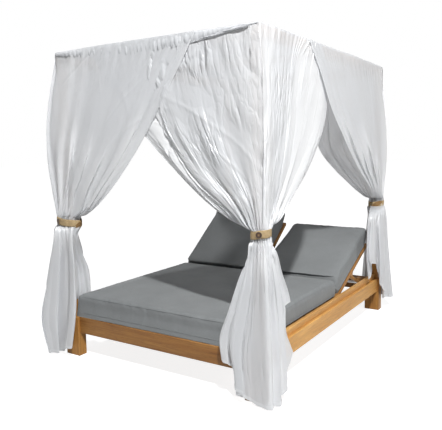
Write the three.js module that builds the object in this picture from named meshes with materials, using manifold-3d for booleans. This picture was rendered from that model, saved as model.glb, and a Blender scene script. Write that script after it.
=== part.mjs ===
// Outdoor daybed with canopy: a double sun lounger with two reclining backrests
// under a four-post canopy hung with four tied-back curtains.
// Millimetres. X runs across the bed, Y from the foot to the head, Z up.
// The origin is on the floor at the centre of the footprint.

import * as THREE from 'three';
import { mergeVertices } from 'three/addons/utils/BufferGeometryUtils.js';
import Module from 'manifold-3d';

const wasm = await Module();
wasm.setup();

// Overall sizes of the bed frame
const BED_HALF_WIDTH = 765;
const BED_HALF_LENGTH = 1045;
const LEG_WIDTH = 120;
const LEG_DEPTH = 65;
const RAIL_TOP = 268;
const RAIL_HEIGHT = 110;
const RAIL_THICKNESS = 24;
const RAIL_SETBACK_SIDE = 17;
const RAIL_SETBACK_END = 15;
const RAIL_TENON_LENGTH = 14;
const TENON_ROOT = 4;
const RAIL_TENON_HEIGHT = 70;
const RAIL_TENON_THICKNESS = 12;
const EDGE_EASE = 3;

// Inner side rails and centre beam
const INNER_RAIL_THICKNESS = 26;
const INNER_RAIL_RISE = 38;
const INNER_RAIL_HEIGHT = 130;
const BEAM_THICKNESS = 32;
const BEAM_HEIGHT = 86;

// Slatted deck
const DECK_TOP = 286;
const SLAT_THICKNESS = 24;
const SLAT_WIDTH = 90;
const SLAT_COUNT = 9;
const SLAT_SIDE_GAP = 2;
const BEARER_WIDTH = 22;
const BEARER_HEIGHT = 30;
const DECK_FOOT_GAP = 4;
const DECK_HEAD_END = 200;
const HEAD_LEDGER_DEPTH = 40;
const HEAD_LEDGER_HEIGHT = 30;

// Backrests, which turn about a line parallel to X
const HINGE_Y = 250;
const HINGE_Z = 250;
const RECLINE_RIGHT_DEG = 23.4;
const RECLINE_LEFT_DEG = 36.6;
const STILE_LENGTH = 735;
const STILE_WIDTH = 32;
const STILE_UNDERSIDE = 13;
const STILE_BEAM_GAP = 2;
const STILE_RAIL_GAP = 16;
const HINGE_EAR_RADIUS = 20;
const PIVOT_EAR_RADIUS = 16;
const EAR_FLARE = 10;
const STILE_END_BEVEL = 8;
const BACK_SLAT_COUNT = 5;
const BACK_SLAT_WIDTH = 80;
const BACK_SLAT_THICKNESS = 20;
const BACK_SLAT_START = 24;
const BACK_SLAT_END_MARGIN = 12;

// Props: two arms and a cross bar each, and the notched racks
const FLAT_BAR_HEAD_GAP = 70;
const ARM_THICKNESS = 16;
const ARM_HALF_HEIGHT = 12;
const ARM_STILE_GAP = 2;
const BAR_RADIUS = 8;
const BAR_END_GAP = 4;
const RACK_THICKNESS = 18;
const RACK_HEIGHT = 36;
const RACK_TIP_CLEARANCE = 0.5;
const RACK_NOTCH_DEPTH = 13;
const RACK_LAND = 9;
const RACK_FOOT_MARGIN = 23;
const RACK_HEAD_MARGIN = 22;
const NOTCH_SIDE_CLEARANCE = 1.5;
const NOTCH_ANGLES_DEG = [0, RECLINE_RIGHT_DEG, RECLINE_LEFT_DEG, 46.5, 55];
const BOLT_RADIUS = 5;
const BOLT_HEAD_RADIUS = 10;
const BOLT_CROWN_RADIUS = 7;
const BOLT_HEAD_HEIGHT = 5;
const BOLT_COLLAR_RADIUS = 9;
const BOLT_BITE = 18;
const PIN_RADIUS = 4;
const PIN_HEAD_RADIUS = 7;
const PIN_HEAD_HEIGHT = 3;
const RUNNING_CLEARANCE = 0.3;

// Canopy
const CANOPY_TOP = 2004;
const POST_SIDE = 45;
const BEAM_DEPTH = 67;
const CANOPY_BEAM_THICKNESS = 42;
const POST_SETBACK_SIDE = 20;
const POST_SETBACK_END = 15;
const TENON_SIDE = 22;
const TENON_LENGTH = 40;
const TENON_CLEARANCE = 0.3;
const BATTEN_WIDTH = 40;
const BATTEN_DEPTH = 40;

// Cushions
const CUSHION_SIDE_GAP = 6;
const CUSHION_THICKNESS = 138;
const CUSHION_RADIUS = 34;
const CUSHION_RADIUS_BELOW = 18;
const CUSHION_CROWN = 9;
const CUSHION_DRAW_IN = 7;
const SEAT_FOOT_SETBACK = 5;
const SEAT_HEAD_END = 225;
const BACK_TOP_END = 795;
const BACK_CENTRE_GAP = 8;
const BACK_HEEL_START = 14;
const BACK_HEEL_SHOULDER = 140;
const BACK_HEEL_SHOULDER_SHARE = 0.55;
const BACK_TOP_TAPER = 58;
const BACK_TOP_TAPER_LENGTH = 170;

// Cloth: roof, curtains, tie bands and buttons
const CLOTH_THICKNESS = 3;
const CLOTH_GAP = 0.5;
const VALANCE_DROP = 84;
const VALANCE_WAVE = 6;
const VALANCE_STAND_OFF = 28;
const VALANCE_WAVES_END = 5;
const VALANCE_WAVES_SIDE = 7;
const LAP_OUT = 16;
const FOLD_DEPTH_TOP = 4;
const FOLD_DEPTH = 18;
const TIE_HEIGHT = 915;
const TIE_BAND_HEIGHT = 62;
const TIE_BAND_THICKNESS = 3;
const BUNDLE_RADIUS = 36;
const BUNDLE_FOLD_DEPTH = 13;
const TIE_BAND_GAP = 1;
const SKIRT_SETTLE_RISE = 30;
const SKIRT_STAND_OFF = 26;
const SKIRT_STAND_OFF_HEAD = 40;
const HEM_STAND_OFF_SIDE = 136;
const HEM_STAND_OFF_END = 66;
const SKIRT_FOLD_DEPTH = 20;
const SKIRT_REACH_END = 250;
const SKIRT_REACH_SIDE = 330;
const HEM_LOW = 8;
const HEM_RISE = 190;
const REACH_FOOT_LEFT_END = 1052;
const REACH_FOOT_LEFT_SIDE = 1000;
const REACH_FOOT_RIGHT_SIDE = 800;
const REACH_HEAD_RIGHT_END = 990;
const LAP_FOOT = 357;
const LAP_HEAD = 400;
const LAP_LEFT = 70;
const LAP_RIGHT = 169;
const BUTTON_RADIUS = 17;
const BUTTON_THICKNESS = 6;
const BUTTON_RIM = 3;
const BUTTON_DISH = 1.5;
const BUTTON_TURN_DEG = 60;

// Values worked out from the sizes above
const RAIL_OUTER_X = BED_HALF_WIDTH - RAIL_SETBACK_SIDE;
const RAIL_OUTER_Y = BED_HALF_LENGTH - RAIL_SETBACK_END;
const LEG_INNER_X = BED_HALF_WIDTH - LEG_WIDTH;
const LEG_INNER_Y = BED_HALF_LENGTH - LEG_DEPTH;
const END_RAIL_INNER_Y = RAIL_OUTER_Y - RAIL_THICKNESS;
const PROP_LENGTH = (LEG_INNER_Y - HINGE_Y - FLAT_BAR_HEAD_GAP) / 2;
const INNER_RAIL_OUTER_X = RAIL_OUTER_X - RAIL_THICKNESS;
const INNER_RAIL_INNER_X = INNER_RAIL_OUTER_X - INNER_RAIL_THICKNESS;
const DECK_UNDERSIDE = DECK_TOP - SLAT_THICKNESS;
const DECK_RISE = DECK_TOP - HINGE_Z;
const POST_OUTER_X = BED_HALF_WIDTH - POST_SETBACK_SIDE;
const POST_OUTER_Y = BED_HALF_LENGTH - POST_SETBACK_END;
const POST_CENTRE_X = POST_OUTER_X - POST_SIDE / 2;
const POST_CENTRE_Y = POST_OUTER_Y - POST_SIDE / 2;
const POST_TOP = CANOPY_TOP - BEAM_DEPTH;
const RACK_TOP = HINGE_Z - BAR_RADIUS - RACK_TIP_CLEARANCE;
const CUSHION_HALF_WIDTH = INNER_RAIL_INNER_X - CUSHION_SIDE_GAP;
const STILE_INNER_X = BEAM_THICKNESS / 2 + STILE_BEAM_GAP;
const STILE_OUTER_X = INNER_RAIL_INNER_X - STILE_RAIL_GAP;
const REACH_FOOT_RIGHT_END = 2 * POST_OUTER_X + LAP_FOOT - REACH_FOOT_LEFT_END;
const REACH_HEAD_RIGHT_SIDE = 2 * POST_OUTER_Y + LAP_RIGHT - REACH_FOOT_RIGHT_SIDE;
const REACH_HEAD_LEFT_END = 2 * POST_OUTER_X + LAP_HEAD - REACH_HEAD_RIGHT_END;
const REACH_HEAD_LEFT_SIDE = 2 * POST_OUTER_Y + LAP_LEFT - REACH_FOOT_LEFT_SIDE;

const woodMaterial = (color) => new THREE.MeshStandardMaterial({
  color, roughness: 0.6, metalness: 0,
});
const TEAK = 0xb98445;
const TEAK_PALE = 0xc8965a;
const TEAK_DEEP = 0x9c6b35;
const STEEL = 0xb9bcc0;
const GREY_FABRIC = 0x83868a;
const WHITE_VOILE = 0xf1f3f5;
const CANVAS = 0xc9ab7e;
const HORN = 0x4a3524;

const daybed = new THREE.Group();
daybed.name = 'daybed_with_canopy';

// A closed solid from a three.js geometry, with its shared vertices merged
function toSolid(geometry) {
  const plain = geometry.index ? geometry.toNonIndexed() : geometry.clone();
  plain.deleteAttribute('normal');
  plain.deleteAttribute('uv');
  const merged = mergeVertices(plain, 1e-3);
  return new wasm.Manifold(new wasm.Mesh({
    numProp: 3,
    vertProperties: new Float32Array(merged.attributes.position.array),
    triVerts: new Uint32Array(merged.index.array),
  }));
}

function toGeometry(solid) {
  const mesh = solid.getMesh();
  const geometry = new THREE.BufferGeometry();
  geometry.setAttribute('position', new THREE.BufferAttribute(mesh.vertProperties, 3));
  geometry.setIndex(new THREE.BufferAttribute(mesh.triVerts, 1));
  geometry.computeVertexNormals();
  return geometry;
}

function addPiece(parent, name, geometry, material) {
  const mesh = new THREE.Mesh(geometry, material);
  mesh.name = name;
  parent.add(mesh);
  return mesh;
}

// A plain block between two corners, used for cuts and tenons
function block(x, y, z) {
  const geometry = new THREE.BoxGeometry(x[1] - x[0], y[1] - y[0], z[1] - z[0]);
  geometry.translate((x[0] + x[1]) / 2, (y[0] + y[1]) / 2, (z[0] + z[1]) / 2);
  return geometry;
}

// A planed timber between two corners, with all its edges eased
function timber(x, y, z, ease = EDGE_EASE) {
  const width = x[1] - x[0] - 2 * ease;
  const depth = y[1] - y[0] - 2 * ease;
  const height = z[1] - z[0] - 2 * ease;
  const outline = new THREE.Shape();
  outline.moveTo(-width / 2, -depth / 2);
  outline.lineTo(width / 2, -depth / 2);
  outline.lineTo(width / 2, depth / 2);
  outline.lineTo(-width / 2, depth / 2);
  outline.closePath();
  const geometry = new THREE.ExtrudeGeometry(outline, {
    depth: height, bevelEnabled: true, bevelThickness: ease, bevelSize: ease, bevelSegments: 1,
  });
  geometry.translate((x[0] + x[1]) / 2, (y[0] + y[1]) / 2, z[0] + ease);
  return geometry;
}

// A shape drawn in the Y-Z plane and extruded along X from x[0] to x[1]
function extrudeAcross(outline, x, curveSegments = 8) {
  const geometry = new THREE.ExtrudeGeometry(outline, {
    depth: x[1] - x[0], bevelEnabled: false, curveSegments,
  });
  geometry.rotateX(Math.PI / 2);
  geometry.rotateZ(Math.PI / 2);
  geometry.translate(x[0], 0, 0);
  return geometry;
}

// A turned piece whose axis lies along X; points are [distance along X, radius]
function turnedAcross(points, segments) {
  const geometry = new THREE.LatheGeometry(
    points.map(([along, radius]) => new THREE.Vector2(radius, along)), segments);
  geometry.rotateZ(-Math.PI / 2);
  return geometry;
}

const mirrored = (range, side) => (side > 0 ? range : [-range[1], -range[0]]);
const sideName = (side) => (side > 0 ? 'right' : 'left');
const endName = (end) => (end > 0 ? 'head' : 'foot');

// Legs, with a mortise for each rail that meets them and one for the post
function tenonBlock(x, y, z, grow) {
  return block([x[0] - grow, x[1] + grow], [y[0] - grow, y[1] + grow], [z[0] - grow, z[1] + grow]);
}

const railTenonZ = [
  RAIL_TOP - RAIL_HEIGHT / 2 - RAIL_TENON_HEIGHT / 2,
  RAIL_TOP - RAIL_HEIGHT / 2 + RAIL_TENON_HEIGHT / 2,
];

function sideRailTenon(side, end, grow) {
  const middle = RAIL_OUTER_X - RAIL_THICKNESS / 2;
  const x = mirrored([middle - RAIL_TENON_THICKNESS / 2, middle + RAIL_TENON_THICKNESS / 2], side);
  const y = mirrored([LEG_INNER_Y - TENON_ROOT, LEG_INNER_Y + RAIL_TENON_LENGTH], end);
  return tenonBlock(x, y, railTenonZ, grow);
}

function endRailTenon(side, end, grow) {
  const middle = RAIL_OUTER_Y - RAIL_THICKNESS / 2;
  const x = mirrored([LEG_INNER_X - TENON_ROOT, LEG_INNER_X + RAIL_TENON_LENGTH], side);
  const y = mirrored([middle - RAIL_TENON_THICKNESS / 2, middle + RAIL_TENON_THICKNESS / 2], end);
  return tenonBlock(x, y, railTenonZ, grow);
}

function postTenon(side, end, z, grow) {
  const x = [side * POST_CENTRE_X - TENON_SIDE / 2, side * POST_CENTRE_X + TENON_SIDE / 2];
  const y = [end * POST_CENTRE_Y - TENON_SIDE / 2, end * POST_CENTRE_Y + TENON_SIDE / 2];
  return tenonBlock(x, y, z, grow);
}

const lowerTenonZ = [RAIL_TOP - TENON_LENGTH, RAIL_TOP];
const upperTenonZ = [POST_TOP, POST_TOP + TENON_LENGTH];

function addLeg(side, end) {
  let leg = toSolid(timber(
    mirrored([LEG_INNER_X, BED_HALF_WIDTH], side),
    mirrored([LEG_INNER_Y, BED_HALF_LENGTH], end),
    [0, RAIL_TOP]));
  leg = leg.subtract(toSolid(sideRailTenon(side, end, TENON_CLEARANCE)));
  leg = leg.subtract(toSolid(endRailTenon(side, end, TENON_CLEARANCE)));
  leg = leg.subtract(toSolid(postTenon(side, end, lowerTenonZ, TENON_CLEARANCE)));
  addPiece(daybed, `leg_${endName(end)}_${sideName(side)}`, toGeometry(leg), woodMaterial(TEAK));
}

function addPost(side, end) {
  const x = mirrored([POST_OUTER_X - POST_SIDE, POST_OUTER_X], side);
  const y = mirrored([POST_OUTER_Y - POST_SIDE, POST_OUTER_Y], end);
  let post = toSolid(timber(x, y, [RAIL_TOP, POST_TOP]));
  post = post.add(toSolid(postTenon(side, end, [lowerTenonZ[0], RAIL_TOP + TENON_ROOT], 0)));
  post = post.add(toSolid(postTenon(side, end, [POST_TOP - TENON_ROOT, upperTenonZ[1]], 0)));
  addPiece(daybed, `post_${endName(end)}_${sideName(side)}`, toGeometry(post), woodMaterial(TEAK));
}

function addSideRails(side) {
  const railZ = [RAIL_TOP - RAIL_HEIGHT, RAIL_TOP];
  let rail = toSolid(timber(
    mirrored([RAIL_OUTER_X - RAIL_THICKNESS, RAIL_OUTER_X], side), [-LEG_INNER_Y, LEG_INNER_Y], railZ));
  for (const end of [-1, 1]) rail = rail.add(toSolid(sideRailTenon(side, end, 0)));
  addPiece(daybed, `outer_rail_${sideName(side)}`, toGeometry(rail), woodMaterial(TEAK));

  const innerZ = [RAIL_TOP + INNER_RAIL_RISE - INNER_RAIL_HEIGHT, RAIL_TOP + INNER_RAIL_RISE];
  let inner = toSolid(timber(
    mirrored([INNER_RAIL_INNER_X, INNER_RAIL_OUTER_X], side), [-LEG_INNER_Y, LEG_INNER_Y], innerZ));
  const boltHole = turnedAcross([
    [INNER_RAIL_INNER_X - EDGE_EASE, 0],
    [INNER_RAIL_INNER_X - EDGE_EASE, BOLT_RADIUS + RUNNING_CLEARANCE],
    [INNER_RAIL_INNER_X + BOLT_BITE + RUNNING_CLEARANCE, BOLT_RADIUS + RUNNING_CLEARANCE],
    [INNER_RAIL_INNER_X + BOLT_BITE + RUNNING_CLEARANCE, 0],
  ], 20);
  if (side < 0) boltHole.rotateZ(Math.PI);
  boltHole.translate(0, HINGE_Y, HINGE_Z);
  inner = inner.subtract(toSolid(boltHole));
  addPiece(daybed, `inner_rail_${sideName(side)}`, toGeometry(inner), woodMaterial(TEAK_PALE));
}

function addEndRail(end) {
  let rail = toSolid(timber(
    [-LEG_INNER_X, LEG_INNER_X],
    mirrored([END_RAIL_INNER_Y, RAIL_OUTER_Y], end),
    [RAIL_TOP - RAIL_HEIGHT, RAIL_TOP]));
  for (const side of [-1, 1]) rail = rail.add(toSolid(endRailTenon(side, end, 0)));
  addPiece(daybed, `${endName(end)}_rail`, toGeometry(rail), woodMaterial(TEAK));
}

function addCentreBeam() {
  const beam = toSolid(timber(
    [-BEAM_THICKNESS / 2, BEAM_THICKNESS / 2],
    [-END_RAIL_INNER_Y, END_RAIL_INNER_Y],
    [DECK_UNDERSIDE - BEAM_HEIGHT, DECK_UNDERSIDE]));
  const hole = turnedAcross([
    [-BEAM_THICKNESS, 0],
    [-BEAM_THICKNESS, BOLT_RADIUS + RUNNING_CLEARANCE],
    [BEAM_THICKNESS, BOLT_RADIUS + RUNNING_CLEARANCE],
    [BEAM_THICKNESS, 0],
  ], 20);
  hole.translate(0, HINGE_Y, HINGE_Z);
  addPiece(daybed, 'centre_beam', toGeometry(beam.subtract(toSolid(hole))), woodMaterial(TEAK_DEEP));
}

// The seat deck: slats screwed down on two bearers
function addSeatDeck() {
  const halfSpan = INNER_RAIL_INNER_X - SLAT_SIDE_GAP;
  const start = -LEG_INNER_Y + DECK_FOOT_GAP;
  const pitch = (DECK_HEAD_END - start - SLAT_WIDTH) / (SLAT_COUNT - 1);
  let deck = null;
  for (const side of [-1, 1]) {
    const bearer = toSolid(block(
      mirrored([INNER_RAIL_INNER_X - BEARER_WIDTH, INNER_RAIL_INNER_X], side),
      [start, DECK_HEAD_END],
      [DECK_UNDERSIDE - BEARER_HEIGHT, DECK_UNDERSIDE]));
    deck = deck ? deck.add(bearer) : bearer;
  }
  for (let i = 0; i < SLAT_COUNT; i += 1) {
    const y = start + i * pitch;
    deck = deck.add(toSolid(block([-halfSpan, halfSpan], [y, y + SLAT_WIDTH], [DECK_UNDERSIDE, DECK_TOP])));
  }
  addPiece(daybed, 'seat_deck', toGeometry(deck), woodMaterial(TEAK_PALE));
}

// Ledgers on the head rail, where the backrests rest when they lie flat
function addHeadLedger(side) {
  const ledger = timber(
    mirrored([BEAM_THICKNESS / 2, LEG_INNER_X], side),
    [END_RAIL_INNER_Y - HEAD_LEDGER_DEPTH, END_RAIL_INNER_Y],
    [DECK_UNDERSIDE - HEAD_LEDGER_HEIGHT, DECK_UNDERSIDE]);
  addPiece(daybed, `head_ledger_${sideName(side)}`, ledger, woodMaterial(TEAK_DEEP));
}

// Racks: the steep side of each notch faces the foot, so that it holds the bar
// against the push of the prop, and the sloping side lets the bar ride up
const barYAt = (degrees) => HINGE_Y + 2 * PROP_LENGTH * Math.cos(THREE.MathUtils.degToRad(degrees));

function rackOutline() {
  const seatRadius = BAR_RADIUS + NOTCH_SIDE_CLEARANCE;
  const stops = NOTCH_ANGLES_DEG.map(barYAt);
  const headEnd = stops[0] + RACK_HEAD_MARGIN;
  const footEnd = stops[stops.length - 1] - RACK_FOOT_MARGIN;
  const seatZ = RACK_TOP - RACK_NOTCH_DEPTH + seatRadius;
  const outline = new THREE.Shape();
  outline.moveTo(footEnd, RACK_TOP - RACK_HEIGHT);
  outline.lineTo(headEnd, RACK_TOP - RACK_HEIGHT);
  outline.lineTo(headEnd, RACK_TOP);
  stops.forEach((stop, i) => {
    const next = stops[i + 1];
    const slopeEnd = next === undefined
      ? footEnd + RACK_LAND
      : Math.max(next + seatRadius + RACK_LAND, stop - 3 * seatRadius);
    outline.lineTo(stop + seatRadius, RACK_TOP);
    outline.lineTo(stop + seatRadius, seatZ);
    outline.absarc(stop, seatZ, seatRadius, 0, -Math.PI * 0.6, true);
    outline.lineTo(slopeEnd, RACK_TOP);
  });
  outline.lineTo(footEnd, RACK_TOP);
  outline.closePath();
  return outline;
}

function addRacks(side) {
  const inner = [BEAM_THICKNESS / 2, BEAM_THICKNESS / 2 + RACK_THICKNESS];
  const outer = [INNER_RAIL_INNER_X - RACK_THICKNESS, INNER_RAIL_INNER_X];
  for (const [place, range] of [['inner', inner], ['outer', outer]]) {
    const geometry = extrudeAcross(rackOutline(), mirrored(range, side), 4);
    addPiece(daybed, `rack_${sideName(side)}_${place}`, geometry, woodMaterial(TEAK_DEEP));
  }
}

// Hinge bolts: a head, a shank, and a collar that keeps the stile off the rail
function addCentreBolt() {
  const reach = STILE_INNER_X + STILE_WIDTH + RUNNING_CLEARANCE;
  const bolt = turnedAcross([
    [-reach - BOLT_HEAD_HEIGHT, 0],
    [-reach - BOLT_HEAD_HEIGHT, BOLT_CROWN_RADIUS],
    [-reach - BOLT_HEAD_HEIGHT / 2, BOLT_HEAD_RADIUS],
    [-reach, BOLT_HEAD_RADIUS],
    [-reach, BOLT_RADIUS],
    [reach, BOLT_RADIUS],
    [reach, BOLT_HEAD_RADIUS],
    [reach + BOLT_HEAD_HEIGHT / 2, BOLT_HEAD_RADIUS],
    [reach + BOLT_HEAD_HEIGHT, BOLT_CROWN_RADIUS],
    [reach + BOLT_HEAD_HEIGHT, 0],
  ], 16);
  bolt.translate(0, HINGE_Y, HINGE_Z);
  addPiece(daybed, 'hinge_bolt_centre', bolt, steelMaterial());
}

function steelMaterial() {
  return new THREE.MeshStandardMaterial({ color: STEEL, roughness: 0.35, metalness: 1 });
}

function addOuterBolt(side) {
  const stileInner = STILE_OUTER_X - STILE_WIDTH - RUNNING_CLEARANCE;
  const stileOuter = STILE_OUTER_X + RUNNING_CLEARANCE;
  const railFace = INNER_RAIL_INNER_X - RUNNING_CLEARANCE;
  const bolt = turnedAcross([
    [stileInner - BOLT_HEAD_HEIGHT, 0],
    [stileInner - BOLT_HEAD_HEIGHT, BOLT_CROWN_RADIUS],
    [stileInner - BOLT_HEAD_HEIGHT / 2, BOLT_HEAD_RADIUS],
    [stileInner, BOLT_HEAD_RADIUS],
    [stileInner, BOLT_RADIUS],
    [stileOuter, BOLT_RADIUS],
    [stileOuter, BOLT_COLLAR_RADIUS],
    [railFace, BOLT_COLLAR_RADIUS],
    [railFace, BOLT_RADIUS],
    [INNER_RAIL_INNER_X + BOLT_BITE, BOLT_RADIUS],
    [INNER_RAIL_INNER_X + BOLT_BITE, 0],
  ], 16);
  if (side < 0) bolt.rotateZ(Math.PI);
  bolt.translate(0, HINGE_Y, HINGE_Z);
  addPiece(daybed, `hinge_bolt_${sideName(side)}_outer`, bolt, steelMaterial());
}

// Backrest frame, in its own axes: X across, Y up along the backrest from the
// hinge line, Z out of its front. The stiles carry an ear for the hinge bolt and
// one for the prop's pivot.
function stileOutline() {
  const outline = new THREE.Shape();
  outline.moveTo(-HINGE_EAR_RADIUS, 0);
  outline.absarc(0, 0, HINGE_EAR_RADIUS, Math.PI, 2 * Math.PI, false);
  outline.lineTo(HINGE_EAR_RADIUS + EAR_FLARE, STILE_UNDERSIDE);
  outline.lineTo(PROP_LENGTH - PIVOT_EAR_RADIUS - EAR_FLARE, STILE_UNDERSIDE);
  outline.lineTo(PROP_LENGTH - PIVOT_EAR_RADIUS, 0);
  outline.absarc(PROP_LENGTH, 0, PIVOT_EAR_RADIUS, Math.PI, 2 * Math.PI, false);
  outline.lineTo(PROP_LENGTH + PIVOT_EAR_RADIUS + EAR_FLARE, STILE_UNDERSIDE);
  outline.lineTo(STILE_LENGTH - STILE_END_BEVEL, STILE_UNDERSIDE);
  outline.lineTo(STILE_LENGTH, STILE_UNDERSIDE + STILE_END_BEVEL);
  outline.lineTo(STILE_LENGTH, DECK_RISE);
  outline.lineTo(-HINGE_EAR_RADIUS + STILE_END_BEVEL, DECK_RISE);
  outline.lineTo(-HINGE_EAR_RADIUS, DECK_RISE - STILE_END_BEVEL);
  outline.closePath();
  const holes = [[0, BOLT_RADIUS], [PROP_LENGTH, PIN_RADIUS]];
  for (const [along, radius] of holes) {
    const hole = new THREE.Path();
    hole.absarc(along, 0, radius + RUNNING_CLEARANCE, 0, 2 * Math.PI, true);
    outline.holes.push(hole);
  }
  return outline;
}

function backrestFrame(side) {
  const inner = mirrored([STILE_INNER_X, STILE_INNER_X + STILE_WIDTH], side);
  const outer = mirrored([STILE_OUTER_X - STILE_WIDTH, STILE_OUTER_X], side);
  let frame = toSolid(extrudeAcross(stileOutline(), inner));
  frame = frame.add(toSolid(extrudeAcross(stileOutline(), outer)));
  const x = mirrored([STILE_INNER_X + STILE_WIDTH / 2, STILE_OUTER_X - STILE_WIDTH / 2], side);
  const last = STILE_LENGTH - BACK_SLAT_END_MARGIN - BACK_SLAT_WIDTH;
  const pitch = (last - BACK_SLAT_START) / (BACK_SLAT_COUNT - 1);
  for (let i = 0; i < BACK_SLAT_COUNT; i += 1) {
    const u = BACK_SLAT_START + i * pitch;
    const slat = block(x, [u, u + BACK_SLAT_WIDTH], [DECK_RISE - BACK_SLAT_THICKNESS, DECK_RISE]);
    frame = frame.add(toSolid(slat));
  }
  return toGeometry(frame);
}

// Cushion: a block whose edges are rounded, whose top is crowned and whose sides
// are drawn in between the corners. Its underside stays flat where it rests.
function cushionGeometry(x, y, z, cells, shape = (point) => point) {
  const half = new THREE.Vector3((x[1] - x[0]) / 2, (y[1] - y[0]) / 2, (z[1] - z[0]) / 2);
  const centre = new THREE.Vector3((x[0] + x[1]) / 2, (y[0] + y[1]) / 2, (z[0] + z[1]) / 2);
  const geometry = new THREE.BoxGeometry(2 * half.x, 2 * half.y, 2 * half.z, ...cells);
  geometry.deleteAttribute('normal');
  geometry.deleteAttribute('uv');
  const merged = mergeVertices(geometry, 1e-3);
  const position = merged.attributes.position;
  const point = new THREE.Vector3();
  const core = new THREE.Vector3();
  for (let i = 0; i < position.count; i += 1) {
    point.fromBufferAttribute(position, i);
    const radius = point.z > 0 ? CUSHION_RADIUS : CUSHION_RADIUS_BELOW;
    ['x', 'y', 'z'].forEach((axis, k) => {
      point[axis] = gridLine(point[axis] / half[axis], cells[k], half[axis], radius);
      core[axis] = THREE.MathUtils.clamp(point[axis], radius - half[axis], half[axis] - radius);
    });
    const out = point.clone().sub(core);
    if (out.length() > 0) point.copy(core).addScaledVector(out.normalize(), radius);
    const along = point.x / half.x;
    const across = point.y / half.y;
    const rise = (point.z + half.z) / (2 * half.z);
    const sides = 4 * rise * (1 - rise);
    point.z += rise * CUSHION_CROWN * ((1 - along ** 2) * (1 - across ** 2) - 0.5);
    point.x -= along ** 3 * sides * CUSHION_DRAW_IN * (1 - across ** 4);
    point.y -= across ** 3 * sides * CUSHION_DRAW_IN * (1 - along ** 4);
    point.add(centre);
    shape(point);
    position.setXYZ(i, point.x, point.y, point.z);
  }
  return merged;
}

// The outermost lines of the grid but one lie where the rounding starts
function gridLine(share, cells, half, radius) {
  const line = Math.round((share + 1) / 2 * cells);
  if (line === 0 || line === cells) return Math.sign(share) * half;
  return (half - radius) * (2 * (line - 1) / (cells - 2) - 1);
}

// The lower end of a back cushion slopes away from the seat, as it has to swing
// clear of the seat cushion, and its upper end thins towards the top
function shapeBackCushion(point) {
  const rise = THREE.MathUtils.clamp((point.z - DECK_RISE) / CUSHION_THICKNESS, 0, 1);
  const slope = Math.min(1, rise / BACK_HEEL_SHOULDER_SHARE);
  const heel = BACK_HEEL_START + (BACK_HEEL_SHOULDER - BACK_HEEL_START) * slope;
  const share = (BACK_TOP_END - point.y) / (BACK_TOP_END - BACK_HEEL_START);
  point.y = BACK_TOP_END - share * (BACK_TOP_END - heel);
  const taperStart = BACK_TOP_END - BACK_TOP_TAPER_LENGTH;
  const nearTop = THREE.MathUtils.clamp((point.y - taperStart) / BACK_TOP_TAPER_LENGTH, 0, 1);
  point.z += (1 - rise) * BACK_TOP_TAPER * nearTop ** 2;
}

function addBackrest(side, reclineDeg) {
  const name = sideName(side);
  const angle = THREE.MathUtils.degToRad(reclineDeg);
  const hinge = new THREE.Group();
  hinge.position.set(0, HINGE_Y, HINGE_Z);
  hinge.rotation.x = angle;
  daybed.add(hinge);
  addPiece(hinge, `backrest_frame_${name}`, backrestFrame(side), woodMaterial(TEAK));

  const cushion = cushionGeometry(
    mirrored([BACK_CENTRE_GAP, CUSHION_HALF_WIDTH], side),
    [BACK_HEEL_START, BACK_TOP_END],
    [DECK_RISE + RUNNING_CLEARANCE, DECK_RISE + CUSHION_THICKNESS],
    [6, 8, 5], shapeBackCushion);
  addPiece(hinge, `back_cushion_${name}`, cushion, fabricMaterial());

  const armInner = [STILE_INNER_X + STILE_WIDTH + ARM_STILE_GAP,
    STILE_INNER_X + STILE_WIDTH + ARM_STILE_GAP + ARM_THICKNESS];
  const armOuter = [STILE_OUTER_X - STILE_WIDTH - ARM_STILE_GAP - ARM_THICKNESS,
    STILE_OUTER_X - STILE_WIDTH - ARM_STILE_GAP];
  addPivotPin(hinge, `prop_pin_${name}_inner`, STILE_INNER_X, armInner[1], side);
  addPivotPin(hinge, `prop_pin_${name}_outer`, STILE_OUTER_X, armOuter[0], side);

  const prop = new THREE.Group();
  prop.position.set(0, PROP_LENGTH, 0);
  prop.rotation.x = -2 * angle;
  hinge.add(prop);
  addPiece(prop, `prop_arm_${name}_inner`, armGeometry(mirrored(armInner, side)), woodMaterial(TEAK_PALE));
  addPiece(prop, `prop_arm_${name}_outer`, armGeometry(mirrored(armOuter, side)), woodMaterial(TEAK_PALE));
  const bar = turnedAcross([
    [BEAM_THICKNESS / 2 + BAR_END_GAP, 0],
    [BEAM_THICKNESS / 2 + BAR_END_GAP, BAR_RADIUS],
    [INNER_RAIL_INNER_X - BAR_END_GAP, BAR_RADIUS],
    [INNER_RAIL_INNER_X - BAR_END_GAP, 0],
  ], 16);
  if (side < 0) bar.rotateZ(Math.PI);
  bar.translate(0, PROP_LENGTH, 0);
  addPiece(prop, `prop_bar_${name}`, bar, woodMaterial(TEAK_PALE));
}

function fabricMaterial() {
  return new THREE.MeshStandardMaterial({ color: GREY_FABRIC, roughness: 0.95, metalness: 0 });
}

// A prop arm runs from its pivot to the cross bar, with round ends
function armGeometry(x) {
  const outline = new THREE.Shape();
  outline.absarc(0, 0, ARM_HALF_HEIGHT, Math.PI / 2, Math.PI * 1.5, false);
  outline.absarc(PROP_LENGTH, 0, ARM_HALF_HEIGHT, -Math.PI / 2, Math.PI / 2, false);
  outline.closePath();
  const ends = [[0, PIN_RADIUS], [PROP_LENGTH, BAR_RADIUS]];
  for (const [along, radius] of ends) {
    const hole = new THREE.Path();
    hole.absarc(along, 0, radius + RUNNING_CLEARANCE, 0, 2 * Math.PI, true);
    outline.holes.push(hole);
  }
  return extrudeAcross(outline, x, 10);
}

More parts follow.
